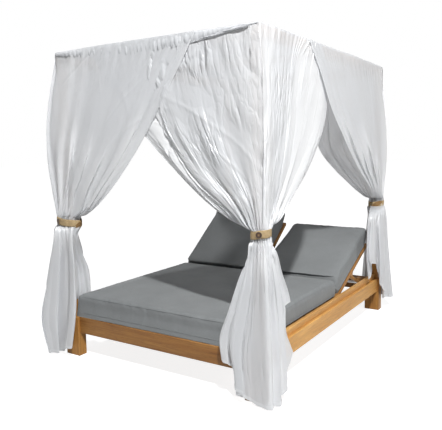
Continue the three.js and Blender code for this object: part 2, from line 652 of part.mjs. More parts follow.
// A pivot pin starts flush in the stile's ear and has its head beyond the arm
function addPivotPin(parent, name, stileFace, armFace, side) {
  const length = Math.abs(armFace - stileFace) + RUNNING_CLEARANCE;
  const pin = turnedAcross([
    [0, 0],
    [0, PIN_RADIUS],
    [length, PIN_RADIUS],
    [length, PIN_HEAD_RADIUS],
    [length + PIN_HEAD_HEIGHT / 2, PIN_HEAD_RADIUS],
    [length + PIN_HEAD_HEIGHT, PIN_RADIUS],
    [length + PIN_HEAD_HEIGHT, 0],
  ], 12);
  if (side * (armFace - stileFace) < 0) pin.rotateZ(Math.PI);
  pin.translate(side * stileFace, PROP_LENGTH, 0);
  addPiece(parent, name, pin, steelMaterial());
}

// Canopy: side beams on the posts, end beams and a batten between them
function addCanopyBeams() {
  const z = [POST_TOP, CANOPY_TOP];
  const innerX = POST_OUTER_X - CANOPY_BEAM_THICKNESS;
  for (const side of [-1, 1]) {
    let beam = toSolid(timber(mirrored([innerX, POST_OUTER_X], side), [-POST_OUTER_Y, POST_OUTER_Y], z));
    for (const end of [-1, 1]) beam = beam.subtract(toSolid(postTenon(side, end, upperTenonZ, TENON_CLEARANCE)));
    addPiece(daybed, `canopy_beam_${sideName(side)}`, toGeometry(beam), woodMaterial(TEAK));
  }
  for (const end of [-1, 1]) {
    const y = mirrored([POST_OUTER_Y - CANOPY_BEAM_THICKNESS, POST_OUTER_Y], end);
    addPiece(daybed, `canopy_beam_${endName(end)}`, timber([-innerX, innerX], y, z), woodMaterial(TEAK));
  }
  addPiece(daybed, 'canopy_batten', timber(
    [-innerX, innerX], [-BATTEN_WIDTH / 2, BATTEN_WIDTH / 2], [CANOPY_TOP - BATTEN_DEPTH, CANOPY_TOP]),
  woodMaterial(TEAK_DEEP));
}

// A closed shell over a grid: point(i, j, layer) gives its inner and outer faces
function shellGeometry(columns, rows, point) {
  const positions = [];
  const index = [];
  const stride = rows + 1;
  const layerSize = (columns + 1) * stride;
  for (const layer of [0, 1]) {
    for (let i = 0; i <= columns; i += 1) {
      for (let j = 0; j <= rows; j += 1) positions.push(...point(i / columns, j / rows, layer));
    }
  }
  const at = (i, j, layer) => layer * layerSize + i * stride + j;
  const quad = (a, b, c, d) => index.push(a, b, c, a, c, d);
  for (let i = 0; i < columns; i += 1) {
    for (let j = 0; j < rows; j += 1) {
      quad(at(i, j, 1), at(i + 1, j, 1), at(i + 1, j + 1, 1), at(i, j + 1, 1));
      quad(at(i, j, 0), at(i, j + 1, 0), at(i + 1, j + 1, 0), at(i + 1, j, 0));
    }
  }
  for (let i = 0; i < columns; i += 1) {
    quad(at(i, 0, 0), at(i + 1, 0, 0), at(i + 1, 0, 1), at(i, 0, 1));
    quad(at(i, rows, 1), at(i + 1, rows, 1), at(i + 1, rows, 0), at(i, rows, 0));
  }
  for (let j = 0; j < rows; j += 1) {
    quad(at(0, j, 1), at(0, j + 1, 1), at(0, j + 1, 0), at(0, j, 0));
    quad(at(columns, j, 0), at(columns, j + 1, 0), at(columns, j + 1, 1), at(columns, j, 1));
  }
  const geometry = new THREE.BufferGeometry();
  geometry.setAttribute('position', new THREE.Float32BufferAttribute(positions, 3));
  geometry.setIndex(index);
  return geometry;
}


// Roof cloth: a sheet on the beams with a gathered valance hanging round it
function wavyOutline(shape, grow) {
  const half = [POST_OUTER_X + VALANCE_STAND_OFF + grow, POST_OUTER_Y + VALANCE_STAND_OFF + grow];
  const steps = 4;
  const corners = [[1, -1], [1, 1], [-1, 1], [-1, -1]];
  corners.forEach((corner, k) => {
    const next = corners[(k + 1) % 4];
    const waves = k % 2 === 0 ? VALANCE_WAVES_SIDE : VALANCE_WAVES_END;
    const out = [(corner[0] + next[0]) / 2, (corner[1] + next[1]) / 2];
    for (let i = 0; i < waves * steps; i += 1) {
      const share = i / (waves * steps);
      const wave = VALANCE_WAVE * (1 - Math.cos(2 * Math.PI * i / steps)) / 2;
      const x = half[0] * THREE.MathUtils.lerp(corner[0], next[0], share) + out[0] * wave;
      const y = half[1] * THREE.MathUtils.lerp(corner[1], next[1], share) + out[1] * wave;
      if (k === 0 && i === 0) shape.moveTo(x, y);
      else shape.lineTo(x, y);
    }
  });
  shape.closePath();
  return shape;
}

function addRoofCloth() {
  const whole = new THREE.ExtrudeGeometry(wavyOutline(new THREE.Shape(), CLOTH_THICKNESS), {
    depth: VALANCE_DROP + CLOTH_THICKNESS, bevelEnabled: false,
  });
  whole.translate(0, 0, CANOPY_TOP - VALANCE_DROP);
  const hollow = new THREE.ExtrudeGeometry(wavyOutline(new THREE.Shape(), 0), {
    depth: VALANCE_DROP + CLOTH_THICKNESS, bevelEnabled: false,
  });
  hollow.translate(0, 0, CANOPY_TOP - VALANCE_DROP - CLOTH_THICKNESS);
  const cloth = toSolid(whole).subtract(toSolid(hollow));
  addPiece(daybed, 'roof_cloth', toGeometry(cloth), clothMaterial());
}

function clothMaterial() {
  return new THREE.MeshStandardMaterial({ color: WHITE_VOILE, roughness: 0.8, metalness: 0 });
}

// Curtains. Each hangs round its corner post from one parting to the next, is
// drawn in to a bundle by its tie band, and opens again in a skirt below it.
// Places are [p, q]: how far a point lies inwards from the post's outer corner,
// along the end and along the side. A share of 0 is the edge on the end, 1 the
// edge on the side and 0.5 the corner.
const BAND_TOP = TIE_HEIGHT + TIE_BAND_HEIGHT / 2;
const BAND_FOOT = TIE_HEIGHT - TIE_BAND_HEIGHT / 2;
const HEAD_ZONE = CANOPY_TOP - VALANCE_DROP;
const SKIRT_SETTLED = RAIL_TOP + SKIRT_SETTLE_RISE;
const SKIRT_ROW_SHARES = [0, 0.22, 0.42, 0.62, 0.82, 1];
const DRAPE_ROW_SHARES = [0, 0.025, 0.08, 0.18, 0.33, 0.52, 0.75, 1];
const CURTAIN_ROWS = SKIRT_ROW_SHARES.length + DRAPE_ROW_SHARES.length;
const CURTAIN_COLUMNS = 24;
const FOLD_COUNT = 6;

// The bundle's ring round the post, as a place and the direction out of it
function bundlePlace(share) {
  const angle = -1.5 * Math.PI * share;
  const out = [Math.cos(angle), Math.sin(angle)];
  return { place: out.map((part) => POST_SIDE / 2 + BUNDLE_RADIUS * part), out };
}

// A cloth spread flat along the two faces of the corner, standing off from them
function spreadPlace(share, reach, standOff) {
  if (share < 0.5) {
    const p = THREE.MathUtils.lerp(reach[0], -standOff[0], 2 * share);
    return { place: [p, -standOff[1]], out: [0, -1] };
  }
  const q = THREE.MathUtils.lerp(-standOff[1], reach[1], 2 * share - 1);
  const out = share > 0.5 ? [-1, 0] : [-Math.SQRT1_2, -Math.SQRT1_2];
  return { place: [-standOff[0], q], out };
}

function mixPlaces(a, b, share) {
  const place = a.place.map((part, k) => THREE.MathUtils.lerp(part, b.place[k], share));
  const out = a.out.map((part, k) => THREE.MathUtils.lerp(part, b.out[k], share));
  const length = Math.hypot(...out);
  return { place, out: out.map((part) => part / length) };
}

// The inner face of a curtain at one share of its width and one height
function curtainPlace(curtain, share, z) {
  const edge = Math.abs(2 * share - 1);
  if (z >= BAND_TOP) {
    const height = Math.min(1, (z - BAND_TOP) / (HEAD_ZONE - BAND_TOP));
    const opened = height ** THREE.MathUtils.lerp(...curtain.fallShares, share);
    const spread = spreadPlace(share, curtain.reach, [CLOTH_GAP, CLOTH_GAP]);
    const mixed = mixPlaces(bundlePlace(share), spread, opened);
    const lap = Math.min(1, 2 * opened) * Math.min(1, 2 * edge);
    if (share < 0.5) mixed.place[1] -= curtain.lap[0] * lap;
    else mixed.place[0] -= curtain.lap[1] * lap;
    const depth = THREE.MathUtils.lerp(FOLD_DEPTH, FOLD_DEPTH_TOP, height ** 2);
    return { ...mixed, depth: THREE.MathUtils.lerp(BUNDLE_FOLD_DEPTH, depth, opened) };
  }
  const opened = Math.min(1, Math.max(0, (BAND_FOOT - z) / (BAND_FOOT - SKIRT_SETTLED))) ** 0.8;
  const low = Math.max(0, 1 - z / SKIRT_SETTLED) * (1 - edge ** 2);
  const standOffEnd = curtain.end > 0 ? SKIRT_STAND_OFF_HEAD : SKIRT_STAND_OFF;
  const standOff = [
    THREE.MathUtils.lerp(SKIRT_STAND_OFF, HEM_STAND_OFF_SIDE, low),
    THREE.MathUtils.lerp(standOffEnd, HEM_STAND_OFF_END, low),
  ];
  const spread = spreadPlace(share, [SKIRT_REACH_END, SKIRT_REACH_SIDE], standOff);
  const mixed = mixPlaces(bundlePlace(share), spread, opened);
  return { ...mixed, depth: THREE.MathUtils.lerp(BUNDLE_FOLD_DEPTH, SKIRT_FOLD_DEPTH, opened) };
}

function rowHeight(row, share) {
  const hem = HEM_LOW + HEM_RISE * (2 * share - 1) ** 2;
  if (row < SKIRT_ROW_SHARES.length) return THREE.MathUtils.lerp(hem, BAND_FOOT, SKIRT_ROW_SHARES[row]);
  const above = row - SKIRT_ROW_SHARES.length;
  if (above < DRAPE_ROW_SHARES.length) {
    return THREE.MathUtils.lerp(BAND_TOP, HEAD_ZONE, DRAPE_ROW_SHARES[above]);
  }
  return CANOPY_TOP;
}

function addCurtain(curtain) {
  const { side, end } = curtain;
  const geometry = shellGeometry(CURTAIN_COLUMNS, CURTAIN_ROWS, (i, j, layer) => {
    const share = side * end > 0 ? 1 - i : i;
    const z = rowHeight(Math.round(j * CURTAIN_ROWS), share);
    const { place, out, depth } = curtainPlace(curtain, share, z);
    const fold = depth * (1 - Math.cos(2 * Math.PI * FOLD_COUNT * share)) / 2;
    const step = layer === 1 ? CLOTH_THICKNESS + fold : 0;
    const p = place[0] + out[0] * step;
    const q = place[1] + out[1] * step;
    return [side * (POST_OUTER_X - p), end * (POST_OUTER_Y - q), z];
  });
  addPiece(daybed, `curtain_${endName(end)}_${sideName(side)}`, geometry, clothMaterial());
}

// Tie bands, each with a button on the side away from the bed
function addTie(side, end) {
  const inner = BUNDLE_RADIUS + CLOTH_THICKNESS + BUNDLE_FOLD_DEPTH + TIE_BAND_GAP;
  const outer = inner + TIE_BAND_THICKNESS;
  const half = TIE_BAND_HEIGHT / 2 - TIE_BAND_GAP;
  const profile = [[inner, -half], [outer, -half], [outer, half], [inner, half], [inner, -half]];
  const band = new THREE.LatheGeometry(profile.map((point) => new THREE.Vector2(...point)), 28);
  band.rotateX(Math.PI / 2);
  band.translate(side * POST_CENTRE_X, end * POST_CENTRE_Y, TIE_HEIGHT);
  const canvas = new THREE.MeshStandardMaterial({ color: CANVAS, roughness: 0.9, metalness: 0 });
  addPiece(daybed, `tie_band_${endName(end)}_${sideName(side)}`, band, canvas);

  const rim = BUTTON_RADIUS - BUTTON_RIM;
  const button = new THREE.LatheGeometry([
    new THREE.Vector2(0, -BUTTON_RADIUS / 2),
    new THREE.Vector2(BUTTON_RADIUS, -BUTTON_RADIUS / 2),
    new THREE.Vector2(BUTTON_RADIUS, BUTTON_THICKNESS - BUTTON_DISH),
    new THREE.Vector2(BUTTON_RADIUS - BUTTON_DISH, BUTTON_THICKNESS),
    new THREE.Vector2(rim, BUTTON_THICKNESS),
    new THREE.Vector2(rim - BUTTON_DISH, BUTTON_THICKNESS - BUTTON_DISH),
    new THREE.Vector2(0, BUTTON_THICKNESS - BUTTON_DISH),
  ], 20);
  button.translate(0, outer, 0);
  const cutter = new THREE.CylinderGeometry(outer + RUNNING_CLEARANCE, outer + RUNNING_CLEARANCE,
    TIE_BAND_HEIGHT, 96);
  cutter.rotateX(Math.PI / 2);
  const shaped = toGeometry(toSolid(button).subtract(toSolid(cutter)));
  const turn = Math.atan2(end * Math.sin(THREE.MathUtils.degToRad(BUTTON_TURN_DEG)),
    side * Math.cos(THREE.MathUtils.degToRad(BUTTON_TURN_DEG)));
  shaped.rotateZ(turn - Math.PI / 2);
  shaped.translate(side * POST_CENTRE_X, end * POST_CENTRE_Y, TIE_HEIGHT);
  const horn = new THREE.MeshStandardMaterial({ color: HORN, roughness: 0.4, metalness: 0 });
  addPiece(daybed, `tie_button_${endName(end)}_${sideName(side)}`, shaped, horn);
}

const CURTAINS = [
  { end: -1, side: -1, reach: [REACH_FOOT_LEFT_END, REACH_FOOT_LEFT_SIDE], lap: [LAP_OUT, 0],
    fallShares: [0.78, 0.6] },
  { end: -1, side: 1, reach: [REACH_FOOT_RIGHT_END, REACH_FOOT_RIGHT_SIDE], lap: [0, 0],
    fallShares: [0.5, 0.38] },
  { end: 1, side: 1, reach: [REACH_HEAD_RIGHT_END, REACH_HEAD_RIGHT_SIDE], lap: [0, LAP_OUT],
    fallShares: [0.7, 0.7] },
  { end: 1, side: -1, reach: [REACH_HEAD_LEFT_END, REACH_HEAD_LEFT_SIDE], lap: [LAP_OUT, LAP_OUT],
    fallShares: [0.7, 0.78] },
];

for (const end of [-1, 1]) {
  for (const side of [-1, 1]) {
    addLeg(side, end);
    addPost(side, end);
    addTie(side, end);
  }
  addEndRail(end);
}
for (const side of [-1, 1]) {
  addSideRails(side);
  addHeadLedger(side);
  addRacks(side);
  addOuterBolt(side);
}
addCentreBeam();
addCentreBolt();
addSeatDeck();
addPiece(daybed, 'seat_cushion', cushionGeometry(
  [-CUSHION_HALF_WIDTH, CUSHION_HALF_WIDTH],
  [SEAT_FOOT_SETBACK - RAIL_OUTER_Y, SEAT_HEAD_END],
  [DECK_TOP, DECK_TOP + CUSHION_THICKNESS],
  [10, 8, 4]), fabricMaterial());
addBackrest(1, RECLINE_RIGHT_DEG);
addBackrest(-1, RECLINE_LEFT_DEG);
addCanopyBeams();
addRoofCloth();
CURTAINS.forEach(addCurtain);

export default daybed;
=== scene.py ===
import math

import bmesh
import bpy
import numpy as np
from mathutils import Matrix, Vector
from mathutils.bvhtree import BVHTree


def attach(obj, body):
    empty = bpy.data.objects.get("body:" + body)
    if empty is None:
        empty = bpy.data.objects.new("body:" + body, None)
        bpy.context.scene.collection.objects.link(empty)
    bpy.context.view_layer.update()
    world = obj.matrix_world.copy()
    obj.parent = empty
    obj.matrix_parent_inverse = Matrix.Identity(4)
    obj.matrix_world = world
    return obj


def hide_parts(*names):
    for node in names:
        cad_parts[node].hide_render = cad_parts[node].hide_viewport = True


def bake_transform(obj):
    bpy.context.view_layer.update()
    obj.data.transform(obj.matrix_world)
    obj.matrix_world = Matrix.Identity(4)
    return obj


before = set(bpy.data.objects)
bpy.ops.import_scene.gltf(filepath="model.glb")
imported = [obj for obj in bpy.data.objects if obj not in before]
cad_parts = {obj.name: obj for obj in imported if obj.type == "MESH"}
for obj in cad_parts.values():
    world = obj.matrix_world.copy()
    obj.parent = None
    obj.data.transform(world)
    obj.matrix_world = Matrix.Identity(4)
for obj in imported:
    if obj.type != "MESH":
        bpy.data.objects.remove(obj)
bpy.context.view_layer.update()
MM = 0.001

# Camera at the photograph's place
CAMERA_PLACE = (2.130, -3.554, 1.384)
CAMERA_TURN = math.radians(32.86)
CAMERA_TIP = math.radians(6.94)
CAMERA_ROLL = math.radians(-0.95)
CAMERA_LENS, SENSOR_WIDTH, SEES_TO = 45.27, 36, 200

# Posts and curtains, in millimetres
POST_FACE_X = 745
POST_FACE_Y = 1030
HALF_POST = 22.5
BAND_TOP = 946
BAND_FOOT = 884
TIE_HEIGHT = 915
ROOF_Z = 2004
CURTAIN_COLUMNS = 380
DRAPE_ROWS = 160
SKIRT_ROWS = 84

# Cushions, in metres
HINGE = np.array([0.0, 0.250, 0.250])
RECLINE = {"right": math.radians(23.4), "left": math.radians(36.6)}
PAD_INNER = 0.008
PAD_OUTER = 0.692
PAD_TOP_END = 0.795
PAD_UNDERSIDE = 0.0363
PAD_FACE = 0.174
SEAT_TOP = 0.424
SEAT_FOOT = -1.025
SEAT_HEAD = 0.225
DECK_TOP = 0.286


# ---------------------------------------------------------------- small tools

def lerp(a, b, share):
    return a + (b - a) * share


def smooth(x):
    x = np.clip(x, 0, 1)
    return x * x * (3 - 2 * x)


def wander(x, y, seed):
    """Smooth noise from -1 to 1 over a plane, the same for the same seed."""
    table = np.random.default_rng(seed).random((64, 64)) * 2 - 1
    i, j = np.floor(x).astype(int), np.floor(y).astype(int)
    u, v = x - i, y - j
    u, v = u * u * u * (u * (u * 6 - 15) + 10), v * v * v * (v * (v * 6 - 15) + 10)
    low = lerp(table[i % 64, j % 64], table[(i + 1) % 64, j % 64], u)
    high = lerp(table[i % 64, (j + 1) % 64], table[(i + 1) % 64, (j + 1) % 64], u)
    return lerp(low, high, v)


def creases(x, y, seed):
    """Flat facets between sharp creases, from 0 to about 1."""
    return 1 - np.abs(wander(x, y, seed)) - 0.5 * np.abs(wander(2.1 * x + 7, 2.1 * y + 3, seed + 1))


def new_piece(name, data):
    piece = bpy.data.objects.new(name, data)
    bpy.context.scene.collection.objects.link(piece)
    return piece


def mesh_piece(name, points, faces, material, uv=None):
    mesh = bpy.data.meshes.new(name)
    mesh.from_pydata([tuple(p) for p in points], [], [tuple(int(i) for i in f) for f in faces])
    mesh.materials.append(material)
    if uv is not None:
        layer = mesh.uv_layers.new(name="cloth")
        corner = np.zeros(len(mesh.loops), np.int32)
        mesh.loops.foreach_get("vertex_index", corner)
        layer.data.foreach_set("uv", np.asarray(uv, np.float32)[corner].ravel())
    mesh.polygons.foreach_set("use_smooth", [True] * len(mesh.polygons))
    mesh.validate()
    mesh.update()
    return new_piece(name, mesh)


def grid_faces(rows, columns, start=0, ring=False):
    """Four-sided faces of a grid of points, closed round its columns if ring."""
    i = np.arange(rows - 1)[:, None] * columns + start
    across = np.arange(columns if ring else columns - 1)[None, :]
    after = (across + 1) % columns
    corners = [i + across, i + after, i + columns + after, i + columns + across]
    return np.stack([c.ravel() for c in corners], axis=1)


def ring_faces(rows, sides, closed):
    """Faces of rings in a row: the last ring joins the first if closed, or both ends have a cap."""
    faces = [tuple(f) for f in grid_faces(rows, sides, ring=True)]
    k, last = np.arange(sides), (rows - 1) * sides
    if closed:
        after = (k + 1) % sides
        return faces + [tuple(f) for f in np.stack([last + k, last + after, after, k], axis=1)]
    return faces + [tuple(k)[::-1], tuple(last + k)]


def tube(path, radius, sides=8, closed=False):
    """Points and faces of a round tube along a path."""
    path = np.asarray(path, float)
    ahead = np.roll(path, -1, 0) - np.roll(path, 1, 0) if closed else np.gradient(path, axis=0)
    ahead /= np.linalg.norm(ahead, axis=1)[:, None]
    steep = np.abs(ahead[:, 2]).max() > 0.92
    up = np.array([0.31, 0.17, 0.25] if steep else [0.0, 0.0, 1.0])
    side = np.cross(ahead, up)
    side /= np.linalg.norm(side, axis=1)[:, None]
    over = np.cross(side, ahead)
    turn = np.linspace(0, 2 * np.pi, sides, endpoint=False)[None, :, None]
    ring = (side[:, None] * np.cos(turn) + over[:, None] * np.sin(turn)) * radius
    return (path[:, None] + ring).reshape(-1, 3), ring_faces(len(path), sides, closed)


def turned_part(profile, sides, closed=False):
    """Points and faces of a solid turned about Z from a profile of radius and height."""
    turn = np.linspace(0, 2 * np.pi, sides, endpoint=False)
    points = [(r * math.cos(a), r * math.sin(a), h) for r, h in profile for a in turn]
    return np.array(points), ring_faces(len(profile), sides, closed)


def outward(piece):
    """Merges what is double and turns every face outwards."""
    work = bmesh.new()
    work.from_mesh(piece.data)
    bmesh.ops.remove_doubles(work, verts=work.verts, dist=1e-6)
    bmesh.ops.recalc_face_normals(work, faces=work.faces)
    work.to_mesh(piece.data)
    work.free()
    return piece


def joined(name, pieces):
    """One piece from several, with their material slots kept."""
    bpy.ops.object.select_all(action="DESELECT")
    for piece in pieces:
        piece.select_set(True)
    bpy.context.view_layer.objects.active = pieces[0]
    bpy.ops.object.join()
    pieces[0].name = name
    pieces[0].data.name = name
    pieces[0].select_set(False)
    return pieces[0]


# ------------------------------------------------------------------ materials

class Nodes:
    """A node tree that is written line by line."""

    def __init__(self, tree):
        self.tree = tree

    def add(self, kind, inputs=None, **settings):
        """A node with its settings, and its sockets set to a value or linked."""
        node = self.tree.nodes.new(kind)
        for name, value in settings.items():
            setattr(node, name, value)
        self.fill(node, inputs or {})
        return node

    def fill(self, node, inputs):
        for socket, value in inputs.items():
            if isinstance(value, bpy.types.NodeSocket):
                self.tree.links.new(value, node.inputs[socket])
            elif value is not None:
                node.inputs[socket].default_value = value

    def math(self, operation, a, b=None, clamp=False):
        node = self.add("ShaderNodeMath", {0: a, 1: b}, operation=operation, use_clamp=clamp)
        return node.outputs[0]

    def times(self, a, b):
        return self.math("MULTIPLY", a, b)

    def plus(self, a, b):
        return self.math("ADD", a, b)

    def minus(self, a, b):
        return self.math("SUBTRACT", a, b)

    def noise(self, vector, scale, detail=3.0, roughness=0.5, distortion=0.0):
        return self.add("ShaderNodeTexNoise", {
            "Vector": vector, "Scale": scale, "Detail": detail, "Roughness": roughness,
            "Distortion": distortion}).outputs["Fac"]

    def stretch(self, vector, scale, rotation=(0, 0, 0), location=(0, 0, 0)):
        return self.add("ShaderNodeMapping", {
            "Vector": vector, "Scale": scale, "Rotation": rotation,
            "Location": location}).outputs["Vector"]

    def ramp(self, value, *stops):
        node = self.add("ShaderNodeValToRGB", {"Fac": value})
        for element, (place, tone) in zip(node.color_ramp.elements, stops):
            element.position = place
            element.color = (*tone[:3], 1)
        return node.outputs["Color"]

    def mix(self, share, a, b, blend="MIX"):
        node = self.add("ShaderNodeMix", {0: share, 6: a, 7: b}, data_type="RGBA", blend_type=blend)
        return node.outputs[2]

    def bump(self, height, strength, distance, normal=None):
        return self.add("ShaderNodeBump", {
            "Height": height, "Strength": strength, "Distance": distance,
            "Normal": normal}).outputs[0]

    def effect(self, tree, **inputs):
        return self.add("ShaderNodeGroup", inputs, node_tree=tree).outputs

    def place(self):
        return self.add("ShaderNodeTexCoord").outputs["Object"]

    def cloth_place(self):
        return self.add("ShaderNodeUVMap", uv_map="cloth").outputs[0]

    def mix_shaders(self, share, a, b, output):
        both = self.add("ShaderNodeMixShader", {0: share, 1: a.outputs[0], 2: b.outputs[0]})
        self.fill(output, {"Surface": both.outputs[0]})


def colour(red, green, blue):
    """A colour as a picture shows it, 0 to 255, in the renderer's own scale."""
    parts = [part / 255 for part in (red, green, blue)]
    return (*[part / 12.92 if part <= 0.04045 else ((part + 0.055) / 1.055) ** 2.4
              for part in parts], 1.0)


def grey(value):
    return (value, value, value)


def shared_effect(name, inputs, outputs, kind="Shader"):
    """An empty node group with its sockets: its writer, what it is given and its output node."""
    tree = bpy.data.node_groups.new(name, kind + "NodeTree")
    for direction, sockets in (("INPUT", inputs), ("OUTPUT", outputs)):
        for socket, value in sockets.items():
            tree.interface.new_socket(socket, in_out=direction, socket_type="NodeSocket" + value)
    work = Nodes(tree)
    return work, work.add("NodeGroupInput").outputs, work.add("NodeGroupOutput")


def make_grain():
    """Teak figure along the vector's X: bands, fibres, pores and a tone for each board."""
    work, given, out = shared_effect(
        "teak_figure", {"Vector": "Vector", "Pale": "Color", "Deep": "Color"},
        {"Colour": "Color", "Roughness": "Float", "Height": "Float"})

    def drawn_out(scale, detail, roughness, distortion=0.0, location=(0, 0, 0)):
        place = work.stretch(given["Vector"], scale, location=location)
        return work.noise(place, 1.0, detail, roughness, distortion)

    band = drawn_out((1.3, 15, 15), 4.0, 0.55, 0.6)
    fibre = drawn_out((7, 190, 190), 3.0, 0.6)
    streak = drawn_out((3.2, 60, 60), 3.0, 0.6, location=(3, 1, 2))
    board = drawn_out((0.5, 5.5, 5.5), 1.0, 0.4, location=(9, 4, 1))
    pores = work.ramp(drawn_out((34, 520, 520), 2.0, 0.6), (0.56, grey(0.0)), (0.68, grey(1.0)))
    figure = work.plus(work.times(band, 0.55), work.times(streak, 0.45))
    figure = work.ramp(figure, (0.34, grey(0.0)), (0.66, grey(1.0)))
    tone = work.mix(figure, given["Deep"], given["Pale"])
    fibres = work.ramp(fibre, (0.3, grey(0.62)), (0.72, grey(1.22)))
    boards = work.ramp(board, (0.35, (0.80, 0.76, 0.70)), (0.65, (1.12, 1.12, 1.10)))
    tone = work.mix(0.75, work.mix(0.55, tone, fibres, "MULTIPLY"), boards, "MULTIPLY")
    work.fill(out, {
        "Colour": work.mix(work.times(pores, 0.45), tone, colour(84, 50, 24)),
        "Roughness": work.plus(work.times(fibre, 0.22), 0.42),
        "Height": work.minus(work.times(fibre, 0.6), work.times(pores, 0.5))})
    return work.tree


def make_worn_and_highlit_edges():
    """A mask of the edges, lightened for wear from hands and weather and as a painted highlight, and the
    eased normal.
    """
    work, given, out = shared_effect(
        "worn_and_highlit_edges", {"Radius": "Float"}, {"Mask": "Float", "Normal": "Vector"})
    eased = work.add("ShaderNodeBevel", {"Radius": given["Radius"]}, samples=6).outputs[0]
    flat = work.add("ShaderNodeNewGeometry").outputs["Normal"]
    turned = work.add("ShaderNodeVectorMath", {0: eased, 1: flat}, operation="DOT_PRODUCT")
    lost = work.minus(1.0, turned.outputs["Value"])
    work.fill(out, {"Mask": work.math("MULTIPLY", lost, 5.0, clamp=True), "Normal": eased})
    return work.tree


def make_weave():
    """Plain weave: threads over and under each other, with a fleck of light and dark yarn."""
    work, given, out = shared_effect(
        "plain_weave", {"Vector": "Vector", "Threads": "Float"}, {"Height": "Float", "Fleck": "Float"})
    scaled = work.add("ShaderNodeVectorMath", {0: given["Vector"], "Scale": given["Threads"]},
                      operation="SCALE").outputs[0]
    x, y, z = work.add("ShaderNodeSeparateXYZ", {0: scaled}).outputs
    waves = [work.math("SINE", work.times(work.plus(part, z), math.pi)) for part in (x, y)]
    over = work.math("GREATER_THAN", work.times(*waves), 0.0)
    tops = [work.math("ABSOLUTE", wave) for wave in waves]
    height = work.plus(work.times(tops[0], over), work.times(tops[1], work.minus(1.0, over)))
    yarns = [work.noise(work.stretch(scaled, scale), 1.0, 2.0, 0.6)
             for scale in ((0.9, 0.16, 0.9), (0.16, 0.9, 0.9))]
    work.fill(out, {"Height": height, "Fleck": work.mix(over, *yarns)})
    return work.tree


def make_crumple():
    """Creases left by folding and packing: ridges that lean both ways, in patches."""
    work, given, out = shared_effect(
        "packing_creases", {"Vector": "Vector"}, {"Height": "Float", "Sheen": "Float"})

    def slanted(scale, lean):
        return work.stretch(given["Vector"], scale, (0, 0, math.radians(lean)))

    total = 0.0
    for lean, scale, strength in ((-28, 9.0, 1.0), (46, 13.0, 0.7), (-24, 26.0, 0.5), (50, 44.0, 0.28)):
        wave = work.noise(slanted((1.0, 0.22, 1.0), lean), scale, 1.0, 0.4, 0.35)
        ridge = work.math("MINIMUM", work.math("ABSOLUTE", work.minus(wave, 0.5)), 0.09)
        total = work.plus(total, work.times(ridge, 8.0 * strength))
    warp = work.noise(slanted((1.0, 0.6, 1.0), -30), 4.2, 2.0, 0.5)
    patch = work.ramp(warp, (0.40, grey(0.15)), (0.60, grey(1.0)))
    work.fill(out, {"Height": work.times(total, patch), "Sheen": patch})
    return work.tree


GRAIN = make_grain()
WORN_AND_HIGHLIT_EDGES = make_worn_and_highlit_edges()
WEAVE = make_weave()
CRUMPLE = make_crumple()


def repeat_tree(name, *sizes):
    """An empty geometry tree with the line or points it works on and its named sizes."""
    inputs = {"Geometry": "Geometry", **{size: "Float" for size in sizes}, "Material": "Material"}
    work, given, out = shared_effect(name, inputs, {"Geometry": "Geometry"}, kind="Geometry")
    work.tree.is_modifier = True
    return work, given, out


def placed_copies(work, given, out, points, copy, way):
    """Puts a copy on each point, its Z turned along way, and makes them plain mesh."""
    turned = work.add("FunctionNodeAlignRotationToVector", {"Vector": way}, axis="Z")
    copies = work.add("GeometryNodeInstanceOnPoints", {
        "Points": points, "Instance": copy, "Rotation": turned.outputs[0]})
    real = work.add("GeometryNodeRealizeInstances", {0: copies.outputs[0]})
    finish = work.add("GeometryNodeSetMaterial", {
        "Geometry": real.outputs[0], "Material": given["Material"]})
    work.fill(out, {"Geometry": finish.outputs[0]})
    return work.tree


def make_stitches():
    """Stitches of equal length at equal steps along a line."""
    work, given, out = repeat_tree("stitches_along_line", "Pitch", "Length", "Radius")
    curve = work.add("GeometryNodeMeshToCurve", {"Mesh": given["Geometry"]})
    even = work.add("GeometryNodeResampleCurve", {
        "Curve": curve.outputs[0], "Length": given["Pitch"]}, mode="LENGTH")
    stitch = work.add("GeometryNodeMeshCylinder", {
        "Vertices": 6, "Radius": given["Radius"], "Depth": given["Length"]})
    way = work.add("GeometryNodeInputTangent").outputs[0]
    return placed_copies(work, given, out, even.outputs[0], stitch.outputs["Mesh"], way)


def make_screws():
    """A screw head on each point, facing the way its attribute aim says."""
    work, given, out = repeat_tree("screws_on_points", "Radius", "Depth")
    head = work.add("GeometryNodeMeshCone", {
        "Vertices": 16, "Radius Bottom": given["Radius"],
        "Radius Top": work.times(given["Radius"], 0.72), "Depth": given["Depth"]}, fill_type="NGON")
    socket = work.add("GeometryNodeMeshCylinder", {
        "Vertices": 6, "Radius": work.times(given["Radius"], 0.42),
        "Depth": work.times(given["Depth"], 2.1)})
    cut = work.add("GeometryNodeMeshBoolean", {
        "Mesh 1": head.outputs["Mesh"], "Mesh 2": socket.outputs["Mesh"]}, operation="DIFFERENCE")
    way = work.add("GeometryNodeInputNamedAttribute", {"Name": "aim"}, data_type="FLOAT_VECTOR")
    return placed_copies(work, given, out, given["Geometry"], cut.outputs["Mesh"],
                         way.outputs["Attribute"])


STITCHES = make_stitches()
SCREWS = make_screws()


def repeated(piece, tree, sizes):
    """Runs a geometry tree on a piece with the sizes given, and keeps its plain mesh."""
    modifier = piece.modifiers.new(tree.name, "NODES")
    modifier.node_group = tree
    for item in tree.interface.items_tree:
        if item.in_out == "INPUT" and item.name in sizes:
            modifier[item.identifier] = sizes[item.name]
    bake_modifiers(piece)
    return outward(piece)


def new_material(name):
    material = bpy.data.materials.new(name)
    material.use_nodes = True
    material.node_tree.nodes.clear()
    work = Nodes(material.node_tree)
    shader = work.add("ShaderNodeBsdfPrincipled")
    output = work.add("ShaderNodeOutputMaterial", {"Surface": shader.outputs[0]})
    return material, work, shader, output


